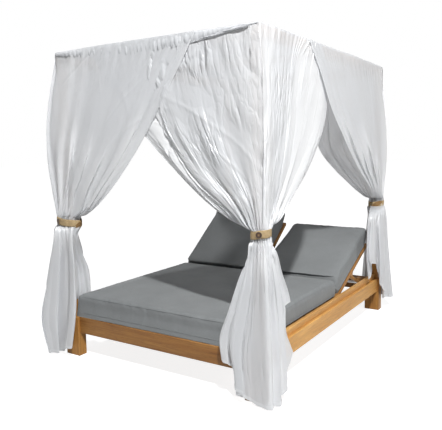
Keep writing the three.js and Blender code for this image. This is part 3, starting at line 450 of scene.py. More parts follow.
def teak(name, rotation, pale=(207, 158, 98), deep=(168, 115, 60), offset=(0, 0, 0)):
    """Oiled teak whose grain runs along the direction that rotation turns onto X."""
    material, work, shader, _ = new_material(name)
    figure = work.effect(GRAIN, Vector=work.stretch(work.place(), (1, 1, 1), rotation, offset),
                         Pale=colour(*pale), Deep=colour(*deep))
    edges = work.effect(WORN_AND_HIGHLIT_EDGES, Radius=0.0025)
    # edges turn lighter here: partly wear, partly a painted highlight where light catches them
    worn = work.mix(work.times(edges["Mask"], 0.5), figure["Colour"], colour(222, 182, 128))
    work.fill(shader, {
        "Base Color": worn, "Roughness": figure["Roughness"], "Specular IOR Level": 0.35,
        "Normal": work.bump(figure["Height"], 0.35, 0.0006, edges["Normal"])})
    return material


def cushion_fabric():
    """Outdoor fabric in mid grey: plain weave, flecked yarn, faint wear."""
    material, work, shader, _ = new_material("cushion_fabric")
    place = work.place()
    weave = work.effect(WEAVE, Vector=place, Threads=1100.0)
    fleck = work.ramp(weave["Fleck"], (0.3, grey(0.0)), (0.7, grey(1.0)))
    yarns = work.mix(fleck, colour(114, 117, 118), colour(141, 144, 145))
    cloudy = work.ramp(work.noise(place, 5.0, 4.0, 0.55), (0.3, grey(0.93)), (0.7, grey(1.05)))
    slack = work.noise(work.stretch(place, (1, 1, 1.4)), 26.0, 3.0, 0.55)
    work.fill(shader, {
        "Base Color": work.mix(1.0, yarns, cloudy, "MULTIPLY"),
        "Roughness": work.plus(work.times(weave["Fleck"], 0.15), 0.78),
        "Sheen Weight": 0.12, "Sheen Roughness": 0.5, "Specular IOR Level": 0.25,
        "Normal": work.bump(weave["Height"], 0.4, 0.0004, work.bump(slack, 0.22, 0.003))})
    return material


def sheer_cloth(name, creased, silk=1.0):
    """White voile: fine open weave, silky light, creases from packing. Light comes through it.

    The cloth's layer attribute makes it whiter and more opaque where it lies over itself, and also carries
    painted light: a whiter tone on lit sides and bright folds.
    """
    single, doubled = 0.90, 0.96  # opacity
    material, work, shader, output = new_material(name)
    place = work.cloth_place()
    weave = work.effect(WEAVE, Vector=place, Threads=1500.0)
    folds = work.effect(CRUMPLE, Vector=place)
    layers_and_painted_light = work.add("ShaderNodeAttribute", attribute_name="layers_and_painted_light").outputs["Fac"]
    slub = work.ramp(weave["Fleck"], (0.3, grey(0.96)), (0.7, grey(1.0)))
    # whiter where the cloth lies doubled, and painted light where the white table lifts it
    tone = work.mix(layers_and_painted_light, colour(217, 219, 222), colour(247, 248, 249))
    tone = work.mix(1.0, tone, slub, "MULTIPLY")
    # the skirts under the ties hang smoother than the cloth above them
    height = work.add("ShaderNodeSeparateXYZ", {0: work.place()}).outputs["Z"]
    drape = work.add("ShaderNodeMapRange", {
        "Value": height, "From Min": 0.80, "From Max": 1.05, "To Min": 0.30})
    flat_share = work.times(work.minus(1.0, work.times(layers_and_painted_light, 0.85)), drape.outputs["Result"])
    normal = work.bump(work.times(folds["Height"], flat_share), creased, 0.007)
    work.fill(shader, {
        "Base Color": tone, "Normal": normal, "Sheen Weight": 0.2, "Sheen Roughness": 0.35,
        "Roughness": work.minus(lerp(0.8, 0.42, silk), work.times(folds["Sheen"], 0.12)),
        "Specular IOR Level": lerp(0.3, 1.0, silk),
        "Coat Weight": 0.25 * silk, "Coat Roughness": 0.28,
        "Alpha": work.plus(single, work.times(layers_and_painted_light, doubled - single))})
    through = work.add("ShaderNodeBsdfTranslucent", {"Color": tone, "Normal": normal})
    work.mix_shaders(0.14, shader, through, output)
    return material


def canvas(name, base, dark):
    """Undyed canvas webbing with a coarse weave."""
    material, work, shader, _ = new_material(name)
    place = work.cloth_place()
    weave = work.effect(WEAVE, Vector=place, Threads=620.0)
    worn = work.noise(place, 60.0, 3.0, 0.6)
    yarns = work.mix(weave["Fleck"], colour(*dark), colour(*base))
    tone = work.ramp(worn, (0.3, grey(0.82)), (0.7, grey(1.08)))
    work.fill(shader, {
        "Base Color": work.mix(1.0, yarns, tone, "MULTIPLY"),
        "Roughness": work.plus(work.times(worn, 0.1), 0.82),
        "Normal": work.bump(weave["Height"], 0.7, 0.0009)})
    return material


def button_horn(name, base, streak):
    material, work, shader, _ = new_material(name)
    wavy = work.noise(work.stretch(work.place(), (60, 60, 190)), 1.0, 4.0, 0.6, 1.2)
    work.fill(shader, {
        "Base Color": work.mix(wavy, colour(*base), colour(*streak)),
        "Roughness": work.plus(work.times(wavy, 0.2), 0.42), "Coat Weight": 0.05})
    return material


def steel(name):
    """Stainless bar and bolts, lightly brushed."""
    material, work, shader, _ = new_material(name)
    brushed = work.noise(work.stretch(work.place(), (9, 420, 420)), 1.0, 3.0, 0.6)
    work.fill(shader, {
        "Base Color": work.ramp(brushed, (0.3, colour(176, 178, 181)), (0.7, colour(206, 208, 210))),
        "Roughness": work.plus(work.times(brushed, 0.25), 0.22), "Metallic": 1.0,
        "Normal": work.bump(brushed, 0.15, 0.0002)})
    return material


def thread(name, tone):
    material, work, shader, _ = new_material(name)
    twist = work.noise(work.place(), 2600.0, 2.0)
    dark = [part * 0.8 for part in tone]
    work.fill(shader, {
        "Base Color": work.mix(twist, colour(*dark), colour(*tone)), "Roughness": 0.7})
    return material


def fitted(piece, body=None, instead=None):
    """Says what a piece rides on and which CAD solid it takes the place of."""
    if body:
        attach(piece, body)
    if instead:
        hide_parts(instead)
    return piece


# ------------------------------------------------------------------- woodwork

QUARTER = math.pi / 2
ALONG_X = (0, 0, 0)
ALONG_Y = (0, 0, -QUARTER)
ALONG_Z = (0, QUARTER, 0)


def leaning(angle):
    """Grain along a timber that leans back by angle from the Y axis."""
    return (-angle, 0, -QUARTER)


def dress_woodwork():
    """Gives every timber and fitting that stays from the CAD model its finish."""
    # the cross pieces take a darker teak than the long rails: painted shade, for the foot rail in the
    # curtains' shade
    cross = teak("teak_cross_painted_shade", ALONG_X, (168, 122, 66), (126, 80, 36))
    long = teak("teak_long", ALONG_Y, (226, 176, 104), (190, 134, 68))
    upright = teak("teak_upright", ALONG_Z, (200, 148, 80), (156, 106, 50))
    deck = teak("teak_deck", ALONG_X, (188, 140, 86), (146, 100, 54))
    inner = teak("teak_inner_rail", ALONG_Y, (230, 182, 112), (196, 142, 78), (0.3, 0.2, 0.1))
    rack = teak("teak_rack", ALONG_Y, (180, 134, 82), (140, 96, 52))
    finishes = {
        "leg_": upright, "post_": upright, "foot_rail": cross, "head_rail": cross,
        "outer_rail_": long, "inner_rail_": inner, "centre_beam": long, "head_ledger_": cross,
        "seat_deck": deck, "rack_": rack, "canopy_beam_foot": cross, "canopy_beam_head": cross,
        "canopy_beam_left": long, "canopy_beam_right": long, "canopy_batten": cross,
    }
    for side, angle in RECLINE.items():
        finishes["backrest_frame_" + side] = teak("teak_backrest_" + side, leaning(angle))
        finishes["prop_arm_" + side] = teak("teak_arm_" + side, leaning(-angle))
    metal = steel("brushed_steel")
    finishes.update(prop_bar=metal, prop_pin=metal, hinge_bolt=metal)
    for name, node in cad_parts.items():
        for start, finish in finishes.items():
            if name.startswith(start):
                if not node.material_slots:
                    node.data.materials.append(finish)
                for slot in node.material_slots:
                    slot.material = finish


# Where the screws of a backrest's slats sit, and how large their heads are, in metres
STILE_CENTRES = (0.0365, 0.666)
STILE_BACK = 0.013
SLAT_CENTRES = [0.070 + 0.15475 * number for number in range(5)]
SCREW_SIZES = {"Radius": 0.0048, "Depth": 0.0018}


def make_slat_screws(side, metal):
    """A screw through the stile into each end of each backrest slat, seen from behind."""
    along, through = pad_frame(side)
    sign = 1 if side == "right" else -1
    back = (STILE_BACK - 0.0004) * through
    points = [HINGE + reach * along + back + np.array([sign * x, 0, 0])
              for x in STILE_CENTRES for reach in SLAT_CENTRES]
    mesh = bpy.data.meshes.new("slat_screws_" + side)
    mesh.from_pydata([tuple(p) for p in points], [], [])
    aim = mesh.attributes.new("aim", "FLOAT_VECTOR", "POINT")
    aim.data.foreach_set("vector", np.tile(-through, len(points)).astype(np.float32))
    piece = repeated(new_piece("slat_screws_" + side, mesh), SCREWS, {**SCREW_SIZES, "Material": metal})
    fitted(piece, "backrest_" + side)


# ------------------------------------------------------------------- cushions

COVER = {
    "quality": 5, "mass": 0.3, "tension_stiffness": 18, "compression_stiffness": 12,
    "shear_stiffness": 6, "bending_stiffness": 0.6, "use_pressure": True,
    "uniform_pressure_force": 4.0,
}
COVER_STEPS = 20
COVER_SHRINK = 0.004
PUCKER_DEPTH, PUCKER_REACH, PUCKER_PITCH = 0.0016, 0.030, 0.020
SEAM_RADIUS = 0.0024
COVER_SLACK = 0.003
CORNER_RADIUS = 0.030
SWELL_DEPTH = 0.0012
SEAT_SEED, BACK_SEEDS = 3, {"right": 40, "left": 60}
# The heel of a back cushion, along it from the hinge: its cut below and above, and how high the
# cut rises; where the filled part starts and where the stretch that makes it up ends
HEEL_CUT, HEEL_TOP, HEEL_RISE, HEEL_START, HEEL_END = 0.014, 0.140, 0.55, 0.014, 0.42
# The foot edge of the seat cushion: where it lies on the foot rail, how high its lower corner
# reaches, how far that is pressed down and how far under the deck's top it may go
RAIL_EDGE, LOW_CORNER, PRESSED, UNDER_DECK = -0.978, 0.060, 0.040, 0.0175


def with_modifier(piece, kind, **values):
    """Adds a modifier, sets it and applies it."""
    modifier = piece.modifiers.new(kind.lower(), kind)
    for name, value in values.items():
        setattr(modifier, name, value)
    bake_modifiers(piece)


def bake_modifiers(piece):
    graph = bpy.context.evaluated_depsgraph_get()
    mesh = bpy.data.meshes.new_from_object(piece.evaluated_get(graph))
    piece.modifiers.clear()
    old = piece.data
    piece.data = mesh
    bpy.data.meshes.remove(old)


def vectors_of(items, name):
    flat = np.zeros(len(items) * 3, np.float32)
    items.foreach_get(name, flat)
    return flat.reshape(-1, 3).astype(float)


def points_of(piece):
    return vectors_of(piece.data.vertices, "co")


def normals_of(piece):
    return vectors_of(piece.data.vertex_normals, "vector")


def set_points(piece, points):
    piece.data.vertices.foreach_set("co", np.asarray(points, np.float32).ravel())
    piece.data.update()


def puffed(name, node, voxel, cap):
    """A stuffed cover grown from a CAD solid: remeshed, blown up by cloth simulation, held near."""
    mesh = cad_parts[node].data.copy()
    mesh.name = name
    mesh.materials.clear()
    piece = outward(new_piece(name, mesh))
    with_modifier(piece, "REMESH", mode="VOXEL", voxel_size=voxel)
    start = points_of(piece) - normals_of(piece) * COVER_SHRINK
    set_points(piece, start)
    cloth = piece.modifiers.new("cover", "CLOTH")
    for setting, value in COVER.items():
        setattr(cloth.settings, setting, value)
    cloth.settings.effector_weights.gravity = 0
    cloth.point_cache.frame_start = 1
    cloth.point_cache.frame_end = COVER_STEPS
    scene = bpy.context.scene
    for step in range(1, COVER_STEPS + 1):
        scene.frame_set(step)
    bake_modifiers(piece)
    scene.frame_set(1)
    moved = points_of(piece) - start
    far = np.linalg.norm(moved, axis=1)[:, None]
    set_points(piece, start + moved * np.minimum(1, cap / np.maximum(far, 1e-9)))
    with_modifier(piece, "SUBSURF", levels=1, render_levels=1)
    return piece


def pad_frame(side):
    """Directions along and through a back cushion, in the YZ plane."""
    angle = RECLINE[side]
    along = np.array([0.0, math.cos(angle), math.sin(angle)])
    through = np.array([0.0, -math.sin(angle), math.cos(angle)])
    return along, through


def rounded_path(low, high, radius, count=260):
    """Points round a rectangle with round corners, evenly spaced."""
    corners = [(high[0] - radius, high[1] - radius, 0), (low[0] + radius, high[1] - radius, 1),
               (low[0] + radius, low[1] + radius, 2), (high[0] - radius, low[1] + radius, 3)]
    path = []
    for x, y, turn in corners:
        for share in np.linspace(0, 1, 9):
            angle = (turn + share) * QUARTER
            path.append((x + radius * math.cos(angle), y + radius * math.sin(angle)))
    path = np.array(path + path[:1])
    along = np.concatenate([[0], np.cumsum(np.linalg.norm(np.diff(path, axis=0), axis=1))])
    at = np.linspace(0, along[-1], count, endpoint=False)
    return np.stack([np.interp(at, along, path[:, k]) for k in range(2)], axis=1)


def on_surface(piece, guide):
    """The guide's points, each moved to the nearest point of the piece, and the normals there."""
    work = bmesh.new()
    work.from_mesh(piece.data)
    tree = BVHTree.FromBMesh(work)
    found = [tree.find_nearest(Vector(point)) for point in guide]
    work.free()
    return (np.array([tuple(f[0]) for f in found]), np.array([tuple(f[1]) for f in found]))


def smoothed(path, times=6):
    for _ in range(times):
        path = (np.roll(path, 1, 0) + 2 * path + np.roll(path, -1, 0)) / 4
    return path


def puckered(points, normals, seams, seed):
    """Small wrinkles that run square to the seams and die out away from them."""
    tree = BVHTree.FromPolygons([Vector(p) for p in seams],
                                [(i, i + 1, i + 2) for i in range(len(seams) - 2)])
    away = np.array([tree.find_nearest(Vector(p))[3] for p in points])
    at = (points[:, 0] * 0.9 + points[:, 1] + 0.3 * points[:, 2]) / PUCKER_PITCH
    wave = (wander(at, away / (3 * PUCKER_REACH), seed)
            + 0.5 * wander(2.3 * at, away / PUCKER_REACH, seed + 5))
    fade = np.exp(-(away / PUCKER_REACH) ** 2)
    return points + normals * (PUCKER_DEPTH * wave * fade)[:, None]


def seam_cord(piece, number, guide, material):
    """A seam cord laid along a guide on the piece's surface."""
    path, out = (smoothed(part) for part in on_surface(piece, guide))
    points, faces = tube(path + out * SEAM_RADIUS * 0.2, SEAM_RADIUS, closed=True)
    return outward(mesh_piece(f"{piece.name}_seam_{number}", points, faces, material))


def finish_cushion(name, piece, guides, fabric, seed, settle):
    """Wrinkles and seam cords for one cushion, settled where it lies."""
    lines = [on_surface(piece, guide)[0] for guide in guides]
    points, normals = points_of(piece), normals_of(piece)
    for number, line in enumerate(lines):
        points = puckered(points, normals, line, seed + 10 * number)
    swell = SWELL_DEPTH * wander(points[:, 0] * 7, points[:, 1] * 7 + points[:, 2] * 9, seed)
    set_points(piece, settle(points + normals * swell[:, None]))
    piece.data.materials.clear()
    piece.data.materials.append(fabric)
    piece.data.polygons.foreach_set("use_smooth", [True] * len(piece.data.polygons))
    cords = [seam_cord(piece, number, guide, fabric) for number, guide in enumerate(guides)]
    return joined(name, [piece, *cords])


def seat_guides():
    edge = 0.001
    flat = rounded_path((-PAD_OUTER + edge, SEAT_FOOT + edge),
                        (PAD_OUTER - edge, SEAT_HEAD - edge), CORNER_RADIUS)
    heights = (SEAT_TOP - 0.012, DECK_TOP + 0.014)
    return [np.column_stack([flat, np.full(len(flat), z)]) for z in heights]


def make_seat_cushion(fabric):
    piece = puffed("seat_pad", "seat_cushion", voxel=0.014, cap=0.007)

    def settle(points):
        x, y, z = points.T.copy()
        rows = wander(x * 17, z * 4, 21) + 0.5 * wander(x * 41, z * 6, 22)
        y += 0.0030 * rows * smooth((-0.985 - y) / 0.03)
        x += 0.0020 * wander(y * 13, z * 4, 23) * smooth((x - 0.66) / 0.03)
        # its foot edge lies on the foot rail, with a square lower corner
        over_foot = smooth((RAIL_EDGE - y) / 0.002)
        low = smooth((DECK_TOP + LOW_CORNER - z) / 0.045)
        z = np.maximum(z - PRESSED * over_foot * low, DECK_TOP - UNDER_DECK * over_foot)
        y = lerp(y, SEAT_FOOT - 0.001, 0.85 * low * smooth((-0.997 - y) / 0.010))
        x = np.clip(x, -PAD_OUTER - COVER_SLACK, PAD_OUTER + COVER_SLACK)
        y = np.clip(y, SEAT_FOOT - 0.004, SEAT_HEAD + COVER_SLACK)
        return np.stack([x, y, z], axis=1)

    whole = finish_cushion("seat_cushion_cover", piece, seat_guides(), fabric, SEAT_SEED, settle)
    fitted(whole, "frame", "seat_cushion")


def back_guides(side):
    along, through = pad_frame(side)
    sign = 1 if side == "right" else -1
    low, high = sorted((sign * (PAD_INNER + 0.001), sign * (PAD_OUTER - 0.001)))
    flat = rounded_path((low, 0.075), (high, PAD_TOP_END - 0.002), CORNER_RADIUS)
    guides = []
    for height in (PAD_FACE - 0.014, PAD_UNDERSIDE + 0.012):
        place = HINGE + flat[:, 1:2] * along + height * through
        place[:, 0] = flat[:, 0]
        guides.append(place)
    return guides


def heel_filled(side, points):
    """Fills a back cushion's cut heel, down to the seat cushion's top and against its end."""
    along, through = pad_frame(side)
    angle = RECLINE[side]
    local = points - HINGE
    reach, height = local @ along, local @ through
    rise = np.clip((height - PAD_UNDERSIDE) / (PAD_FACE - PAD_UNDERSIDE), 0, 1)
    cut = lerp(HEEL_CUT, HEEL_TOP, np.minimum(1, rise / HEEL_RISE))
    on_seat = (SEAT_TOP - 0.010 - HINGE[2] - height * math.cos(angle)) / math.sin(angle)
    at_seat = (height * math.sin(angle) - HINGE[1] + SEAT_HEAD + 0.005) / math.cos(angle)
    filled = np.maximum(HEEL_START, np.minimum(on_seat, at_seat))
    stretch = (HEEL_END - filled) / (HEEL_END - cut)
    moved = np.where(reach < HEEL_END, filled + (reach - cut) * stretch, reach)
    return points + (moved - reach)[:, None] * along


def make_back_cushion(side, fabric):
    node = "back_cushion_" + side
    piece = puffed("back_pad_" + side, node, voxel=0.0125, cap=0.008)
    through = pad_frame(side)[1]
    sign = 1 if side == "right" else -1

    def settle(points):
        points = heel_filled(side, points)
        sunk = PAD_UNDERSIDE + 0.0005 - (points - HINGE) @ through
        points = points + np.maximum(0, sunk)[:, None] * through
        points[:, 0] = sign * np.clip(sign * points[:, 0], PAD_INNER - COVER_SLACK,
                                      PAD_OUTER + COVER_SLACK)
        return points

    whole = finish_cushion("back_cushion_cover_" + side, piece, back_guides(side), fabric,
                           BACK_SEEDS[side], settle)
    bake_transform(whole)
    fitted(whole, instead=node)


# ------------------------------------------------------------------- curtains

# Measures of each curtain from the photograph, in millimetres. Shares are of the
# cloth's width: before 0.5 it lies on the bed's end, after it on the side.
# bundle: the tied cloth's centre from the post's corner, and its two radii
# drape, skirt: lines of the cloth above and below the tie, each with its share
#     and, at some heights, how far it lies along the bed and how far it stands off
# hem: heights of the lower edge, by share
# pleats: part, place and half width in shares, width laid above the tie, height
#     where that ends, width laid below the tie, and how far it stands off
# rays, crumple: strength of the folds from the tie and of the packing creases
# white: how much whiter the cloth is painted, by share: painted light on lit sides and bright folds,
# partly standing for cloth that lies in several layers
# flat: width and height of the cloth when it lies flat, in metres
CURTAINS = {
    "foot_right": {
        "bundle": (13, 29, 44, 44),
        "drape": [
            (0.00, [(1048, 289, -4), (1278, 584, -9), (1422, 742, -12), (1700, 985, -14),
                    (2006, 1200, -16)]),
            (0.13, [(1048, 200, -2), (1278, 440, -5), (1422, 530, -7), (1700, 690, -8), (2006, 800, -8)]),
            (0.19, [(1064, 210, 3), (1306, 484, 4), (1436, 585, 4), (1613, 655, 3), (2006, 800, 2)]),
            (0.36, [(1100, 80, 10), (1400, 250, 12), (1700, 330, 10), (2006, 360, 3)]),
            (0.50, [(1100, -18, 22), (1400, -26, 30), (1700, -16, 18), (2006, 0, 2)]),
            (0.66, [(1012, 100, 12), (1386, 210, 14), (1759, 300, 10), (2006, 400, 2)]),
            (0.76, [(1012, 132, 6), (1386, 304, 8), (1759, 382, 6), (1900, 460, 3), (2006, 590, 0)]),
            (0.84, [(975, 120, 2), (1193, 253, 2), (1505, 435, 1), (1747, 515, 0), (1938, 615, -2),
                    (2006, 650, -2)]),
            (0.92, [(975, 160, -3), (1112, 303, -3), (1343, 510, -3), (1570, 647, -4),
                    (1812, 740, -4), (2006, 700, -5)]),
            (1.00, [(964, 167, -6), (1079, 377, -6), (1271, 640, -7), (1640, 900, -8),
                    (1850, 900, -9), (2006, 780, -9)]),
        ],
        "skirt": [
            (0.00, [(835, 44, 26), (725, 94, 28), (505, 176, 30), (310, 241, 36), (205, 228, 40)]),
            (0.16, [(725, 70, 34), (505, 130, 38), (310, 170, 48), (160, 140, 56)]),
            (0.34, [(725, 30, 38), (505, 62, 44), (310, 84, 56), (20, 78, 66)]),
            (0.50, [(725, -22, 40), (505, -34, 50), (310, -48, 62), (8, -66, 76)]),
            (0.68, [(725, 20, 42), (505, 45, 56), (310, 50, 74), (20, 36, 92)]),
            (0.76, [(725, 40, 38), (505, 74, 50), (310, 84, 62), (62, 66, 84)]),
            (0.82, [(725, 62, 36), (505, 104, 44), (310, 126, 54), (154, 150, 60)]),
            (0.875, [(725, 80, 34), (505, 160, 40), (320, 202, 46), (225, 305, 50)]),
            (0.92, [(830, 50, 36), (725, 104, 44), (484, 171, 54), (320, 190, 56)]),
            (1.00, [(835, 84, 36), (702, 143, 46), (515, 228, 58), (300, 240, 58)]),
        ],
        "hem": [(0, 222), (0.14, 196), (0.17, 110), (0.27, 60), (0.42, 9), (0.62, 10), (0.76, 62),
                (0.82, 152), (0.872, 220), (0.90, 470), (0.92, 484), (1, 515)],
        "pleats": [
            ("end", 0.10, 0.045, 70, 2100, 30, 9), ("end", 0.19, 0.04, 60, 1650, 8, 8),
            ("end", 0.29, 0.04, 55, 1400, 64, 9), ("end", 0.385, 0.035, 40, 1250, 8, 8),
            ("side", 0.07, 0.035, 66, 2500, 8, 8), ("side", 0.145, 0.035, 74, 2600, 8, 8),
            ("side", 0.225, 0.035, 74, 2600, 60, 8), ("side", 0.32, 0.04, 60, 1900, 8, 8),
        ],
        "rays": 0.8,
        "white": [(0, 0.5), (0.10, 0.4), (0.16, 0.1), (0.38, 0.0), (0.45, 0.35), (0.54, 0.5), (0.57, 0.15),
                  (0.68, 0.1), (0.75, 0.45), (1, 0.6)],
        "crumple": 1.5, "seed": 11, "flat": (1.94, 1.9),
    },
    "foot_left": {
        "bundle": (30, 15, 86, 50),
        "drape": [
            (0.00, [(1133, 431, 4), (1491, 752, 12), (1608, 838, 14), (1912, 1052, 15), (2006, 1110, 15)]),
            (0.06, [(1133, 372, 2), (1491, 690, 9), (1608, 775, 11), (1912, 990, 13), (2006, 1050, 14)]),
            (0.25, [(1133, 190, 12), (1491, 400, 14), (1912, 560, 14), (2006, 590, 14)]),
            (0.42, [(1133, 40, 26), (1491, 110, 30), (1800, 180, 24), (2006, 200, 12)]),
            (0.52, [(1133, -40, 52), (1319, -58, 66), (1595, -54, 62), (1774, -34, 42),
                    (1930, -10, 18), (2006, 0, 4)]),
            (0.70, [(1133, 110, 40), (1491, 300, 44), (1800, 420, 26), (2006, 460, 4)]),
            (1.00, [(1133, 360, 10), (1372, 700, 10), (1700, 900, 8), (2006, 1010, 4)]),
        ],
        "skirt": [
            (0.00, [(820, 96, -10), (700, 60, -90), (567, 46, -160), (380, 42, -178)]),
            (0.12, [(820, 104, 18), (700, 70, -16), (567, 47, -66), (380, 43, -80)]),
            (0.19, [(820, 108, 38), (600, 104, 42), (430, 98, 44), (250, 80, 46), (60, 48, 50)]),
            (0.34, [(850, 66, 48), (600, 44, 50), (250, 6, 60), (20, -20, 70)]),
            (0.50, [(850, -22, 62), (681, -52, 78), (505, -88, 96), (243, -142, 116), (6, -108, 92)]),
            (0.74, [(850, 60, 60), (600, 90, 90), (300, 90, 150), (14, 90, 150)]),
            (1.00, [(846, 150, 40), (567, 200, 46), (415, 210, 50), (200, 240, 60), (70, 250, 70)]),
        ],
        "hem": [(0, 384), (0.13, 380), (0.165, 110), (0.2, 70), (0.34, 26), (0.5, 8), (0.7, 14), (1, 96)],
        "pleats": [
            ("end", 0.085, 0.04, 60, 1700, 20, 7), ("end", 0.18, 0.045, 70, 1500, 66, 9),
            ("end", 0.28, 0.04, 66, 1560, 20, 9), ("end", 0.38, 0.045, 60, 1650, 60, 10),
            ("side", 0.08, 0.04, 66, 1900, 50, 8), ("side", 0.17, 0.04, 60, 1600, 20, 8),
            ("side", 0.27, 0.045, 66, 1500, 56, 8), ("side", 0.38, 0.04, 60, 1450, 20, 8),
        ],
        "rays": 1.0, "white": [(0, 0.25), (0.05, 0.15), (0.35, 0.0), (0.45, 0.35), (0.52, 0.1), (1, 0.1)],
        "crumple": 0.45, "seed": 29, "flat": (2.10, 1.8),
    },
    "head_right": {
        "bundle": (24, 24, 52, 52),
        "drape": [
            (0.00, [(1088, 300, 4), (1180, 400, 6), (1375, 551, 8), (1600, 560, 8), (1812, 515, 6),
                    (2006, 505, 4)]),
            (0.16, [(1088, 190, 8), (1375, 380, 12), (1700, 420, 10), (2006, 430, 4)]),
            (0.36, [(1100, 50, 22), (1400, 110, 30), (1700, 150, 20), (2006, 180, 4)]),
            (0.48, [(1100, -24, 34), (1400, -34, 48), (1700, -26, 34), (1900, -8, 14), (2006, 0, 4)]),
            (0.64, [(1032, 90, 16), (1240, 190, 20), (1640, 330, 14), (2006, 430, 4)]),
            (0.86, [(1032, 200, 10), (1240, 430, 14), (1640, 830, 14), (2006, 1080, 8)]),
            (1.00, [(1032, 288, 10), (1240, 622, 14), (1427, 886, 16), (1640, 1147, 16),
                    (1813, 1290, 16), (2006, 1480, 14)]),
        ],
        "skirt": [
            (0.00, [(800, 110, 30), (600, 130, 34), (350, 150, 40), (200, 160, 44)]),
            (0.24, [(800, 50, 40), (600, 60, 48), (300, 60, 60), (110, 50, 66)]),
            (0.44, [(800, -40, 42), (600, -54, 50), (300, -80, 76), (100, -105, 90)]),
            (0.60, [(800, 40, 46), (600, 46, 50), (300, 50, 52), (100, 50, 54)]),
            (0.76, [(830, 190, 36), (600, 190, 40), (372, 150, 44), (240, 120, 46)]),
            (0.88, [(840, 240, 26), (600, 262, 30), (469, 290, 32), (372, 250, 36)]),
            (1.00, [(862, 290, 0), (700, 350, 6), (469, 370, 14), (300, 340, 16)]),
        ],
        "hem": [(0, 200), (0.25, 110), (0.50, 96), (0.62, 118), (0.72, 240), (0.80, 372), (0.86, 440),
                (0.90, 452), (0.93, 330), (1, 300)],
        "pleats": [
            ("side", 0.07, 0.035, 60, 1700, 34, 8), ("side", 0.15, 0.04, 70, 1560, 20, 8),
            ("side", 0.25, 0.045, 70, 1600, 50, 9), ("side", 0.36, 0.04, 60, 1450, 20, 8),
            ("end", 0.10, 0.045, 60, 1900, 40, 8), ("end", 0.20, 0.04, 60, 1600, 20, 8),
            ("end", 0.32, 0.045, 66, 1500, 50, 8),
        ],
        "rays": 1.0, "white": [(0, 0.2), (0.36, 0.2), (0.46, 0.8), (0.52, 0.5), (0.60, 0.1), (1, 0.15)],
        "crumple": 0.5, "seed": 47, "flat": (1.98, 1.7),
    },
    "head_left": {
        "bundle": (24, 24, 44, 44),
        "drape": [
            (0.00, [(1100, 250, 6), (1400, 590, 12), (1700, 760, 14), (2006, 900, 12)]),
            (0.25, [(1100, 120, 14), (1400, 290, 16), (1700, 380, 14), (2006, 440, 8)]),
            (0.50, [(1100, -20, 32), (1400, -32, 44), (1700, -22, 30), (2006, 0, 4)]),
            (0.75, [(1100, 120, 14), (1400, 330, 16), (1700, 470, 14), (2006, 560, 8)]),
            (1.00, [(1100, 280, 6), (1400, 700, 12), (1700, 940, 14), (2006, 1130, 12)]),
        ],
        "skirt": [
            (0.00, [(800, 100, 34), (600, 150, 40), (300, 200, 50), (150, 220, 54)]),
            (0.25, [(800, 50, 42), (600, 80, 50), (300, 100, 62), (30, 105, 70)]),
            (0.50, [(800, -26, 44), (600, -40, 54), (300, -52, 66), (8, -60, 76)]),
            (0.75, [(800, 60, 44), (600, 100, 54), (300, 130, 76), (30, 140, 96)]),
            (1.00, [(800, 120, 36), (600, 200, 42), (300, 280, 54), (150, 310, 60)]),
        ],
        "hem": [(0, 150), (0.25, 40), (0.5, 8), (0.75, 40), (1, 160)],
        "pleats": [
            ("side", 0.08, 0.04, 66, 1800, 50, 8), ("side", 0.18, 0.04, 66, 1600, 20, 8),
            ("side", 0.30, 0.045, 66, 1500, 50, 8), ("end", 0.08, 0.04, 60, 1800, 40, 8),
            ("end", 0.18, 0.04, 66, 1600, 20, 8), ("end", 0.30, 0.045, 66, 1500, 50, 8),
        ],
        "rays": 1.0, "white": [(0, 0.2), (0.42, 0.2), (0.5, 0.7), (0.58, 0.2), (1, 0.2)],
        "crumple": 0.5, "seed": 71, "flat": (1.84, 1.8),
    },
}
CURTAIN_TOP = 2006
# How the cloth hangs round the ties and from the beams, in millimetres
WRAP = 1.9 * math.pi
GATHERS, GATHER_DEPTH, GATHER_REACH = 27, 11.0, 85.0
RAYS, RAY_DEPTH, RAY_REACH = 9, 10.0, 230.0
BROAD_DEPTH, BROAD_RISE, BROAD_TOP = 13.0, 500, 1650
HEADING_PLEATS, HEADING_DEPTH, HEADING_FOOT, HEADING_RISE = 38, 1.7, 1800, 180
SKIRT_FOLDS, SKIRT_DEPTH, SKIRT_RIPPLE, SKIRT_SPREAD = 5.0, 15.0, 4.0, 260
LAID_CLOSED, LAID_RISE, LAID_FADE = 8, 330, 420
FOLD_LINES, FOLD_LINE_DEPTH = 80, 6.4
FLARE_DEPTH, FLARE_REACH = 12, 140
POST_CLEARANCE = 4.0
# How far under the roof the cloth starts to clear the beams, and over what height
BEAM_REACH, BEAM_FADE = 330, 255
# Hems: width and rows, how far they stand off and how white they are
HEM_WIDTH, HEM_ROWS, HEM_LIFT = 9.0, 3, 1.2
SIDE_HEM_WHITE, FOOT_HEM_WHITE = 0.6, 0.35
# How the grid's rows crowd towards the tie, and the lines' stations with them
DRAPE_EASE, SKIRT_EASE, LINE_EASE = 1.15, 1.05, 0.6


def hermite(at, places, values):
    """A smooth curve through the values given at rising places."""
    places, values = np.asarray(places, float), np.asarray(values, float)
    slopes = np.gradient(values, places)
    k = np.clip(np.searchsorted(places, at, side="right") - 1, 0, len(places) - 2)
    width = places[k + 1] - places[k]
    u = np.clip((at - places[k]) / width, 0, 1)
    return ((2 * u ** 3 - 3 * u ** 2 + 1) * values[k] + (u ** 3 - 2 * u ** 2 + u) * width * slopes[k]
            + (3 * u ** 2 - 2 * u ** 3) * values[k + 1] + (u ** 3 - u ** 2) * width * slopes[k + 1])


def bundle_place(curtain, share):
    """How far along and how far off the bundle lies at one share of the cloth."""
    centre_p, centre_q, radius_p, radius_q = curtain["bundle"]
    angle = -0.75 * np.pi - WRAP * (share - 0.5)
    p = centre_p + radius_p * np.cos(angle)
    q = centre_q + radius_q * np.sin(angle)
    on_end = share < 0.5
    return np.where(on_end, p, q), np.where(on_end, -q, -p)


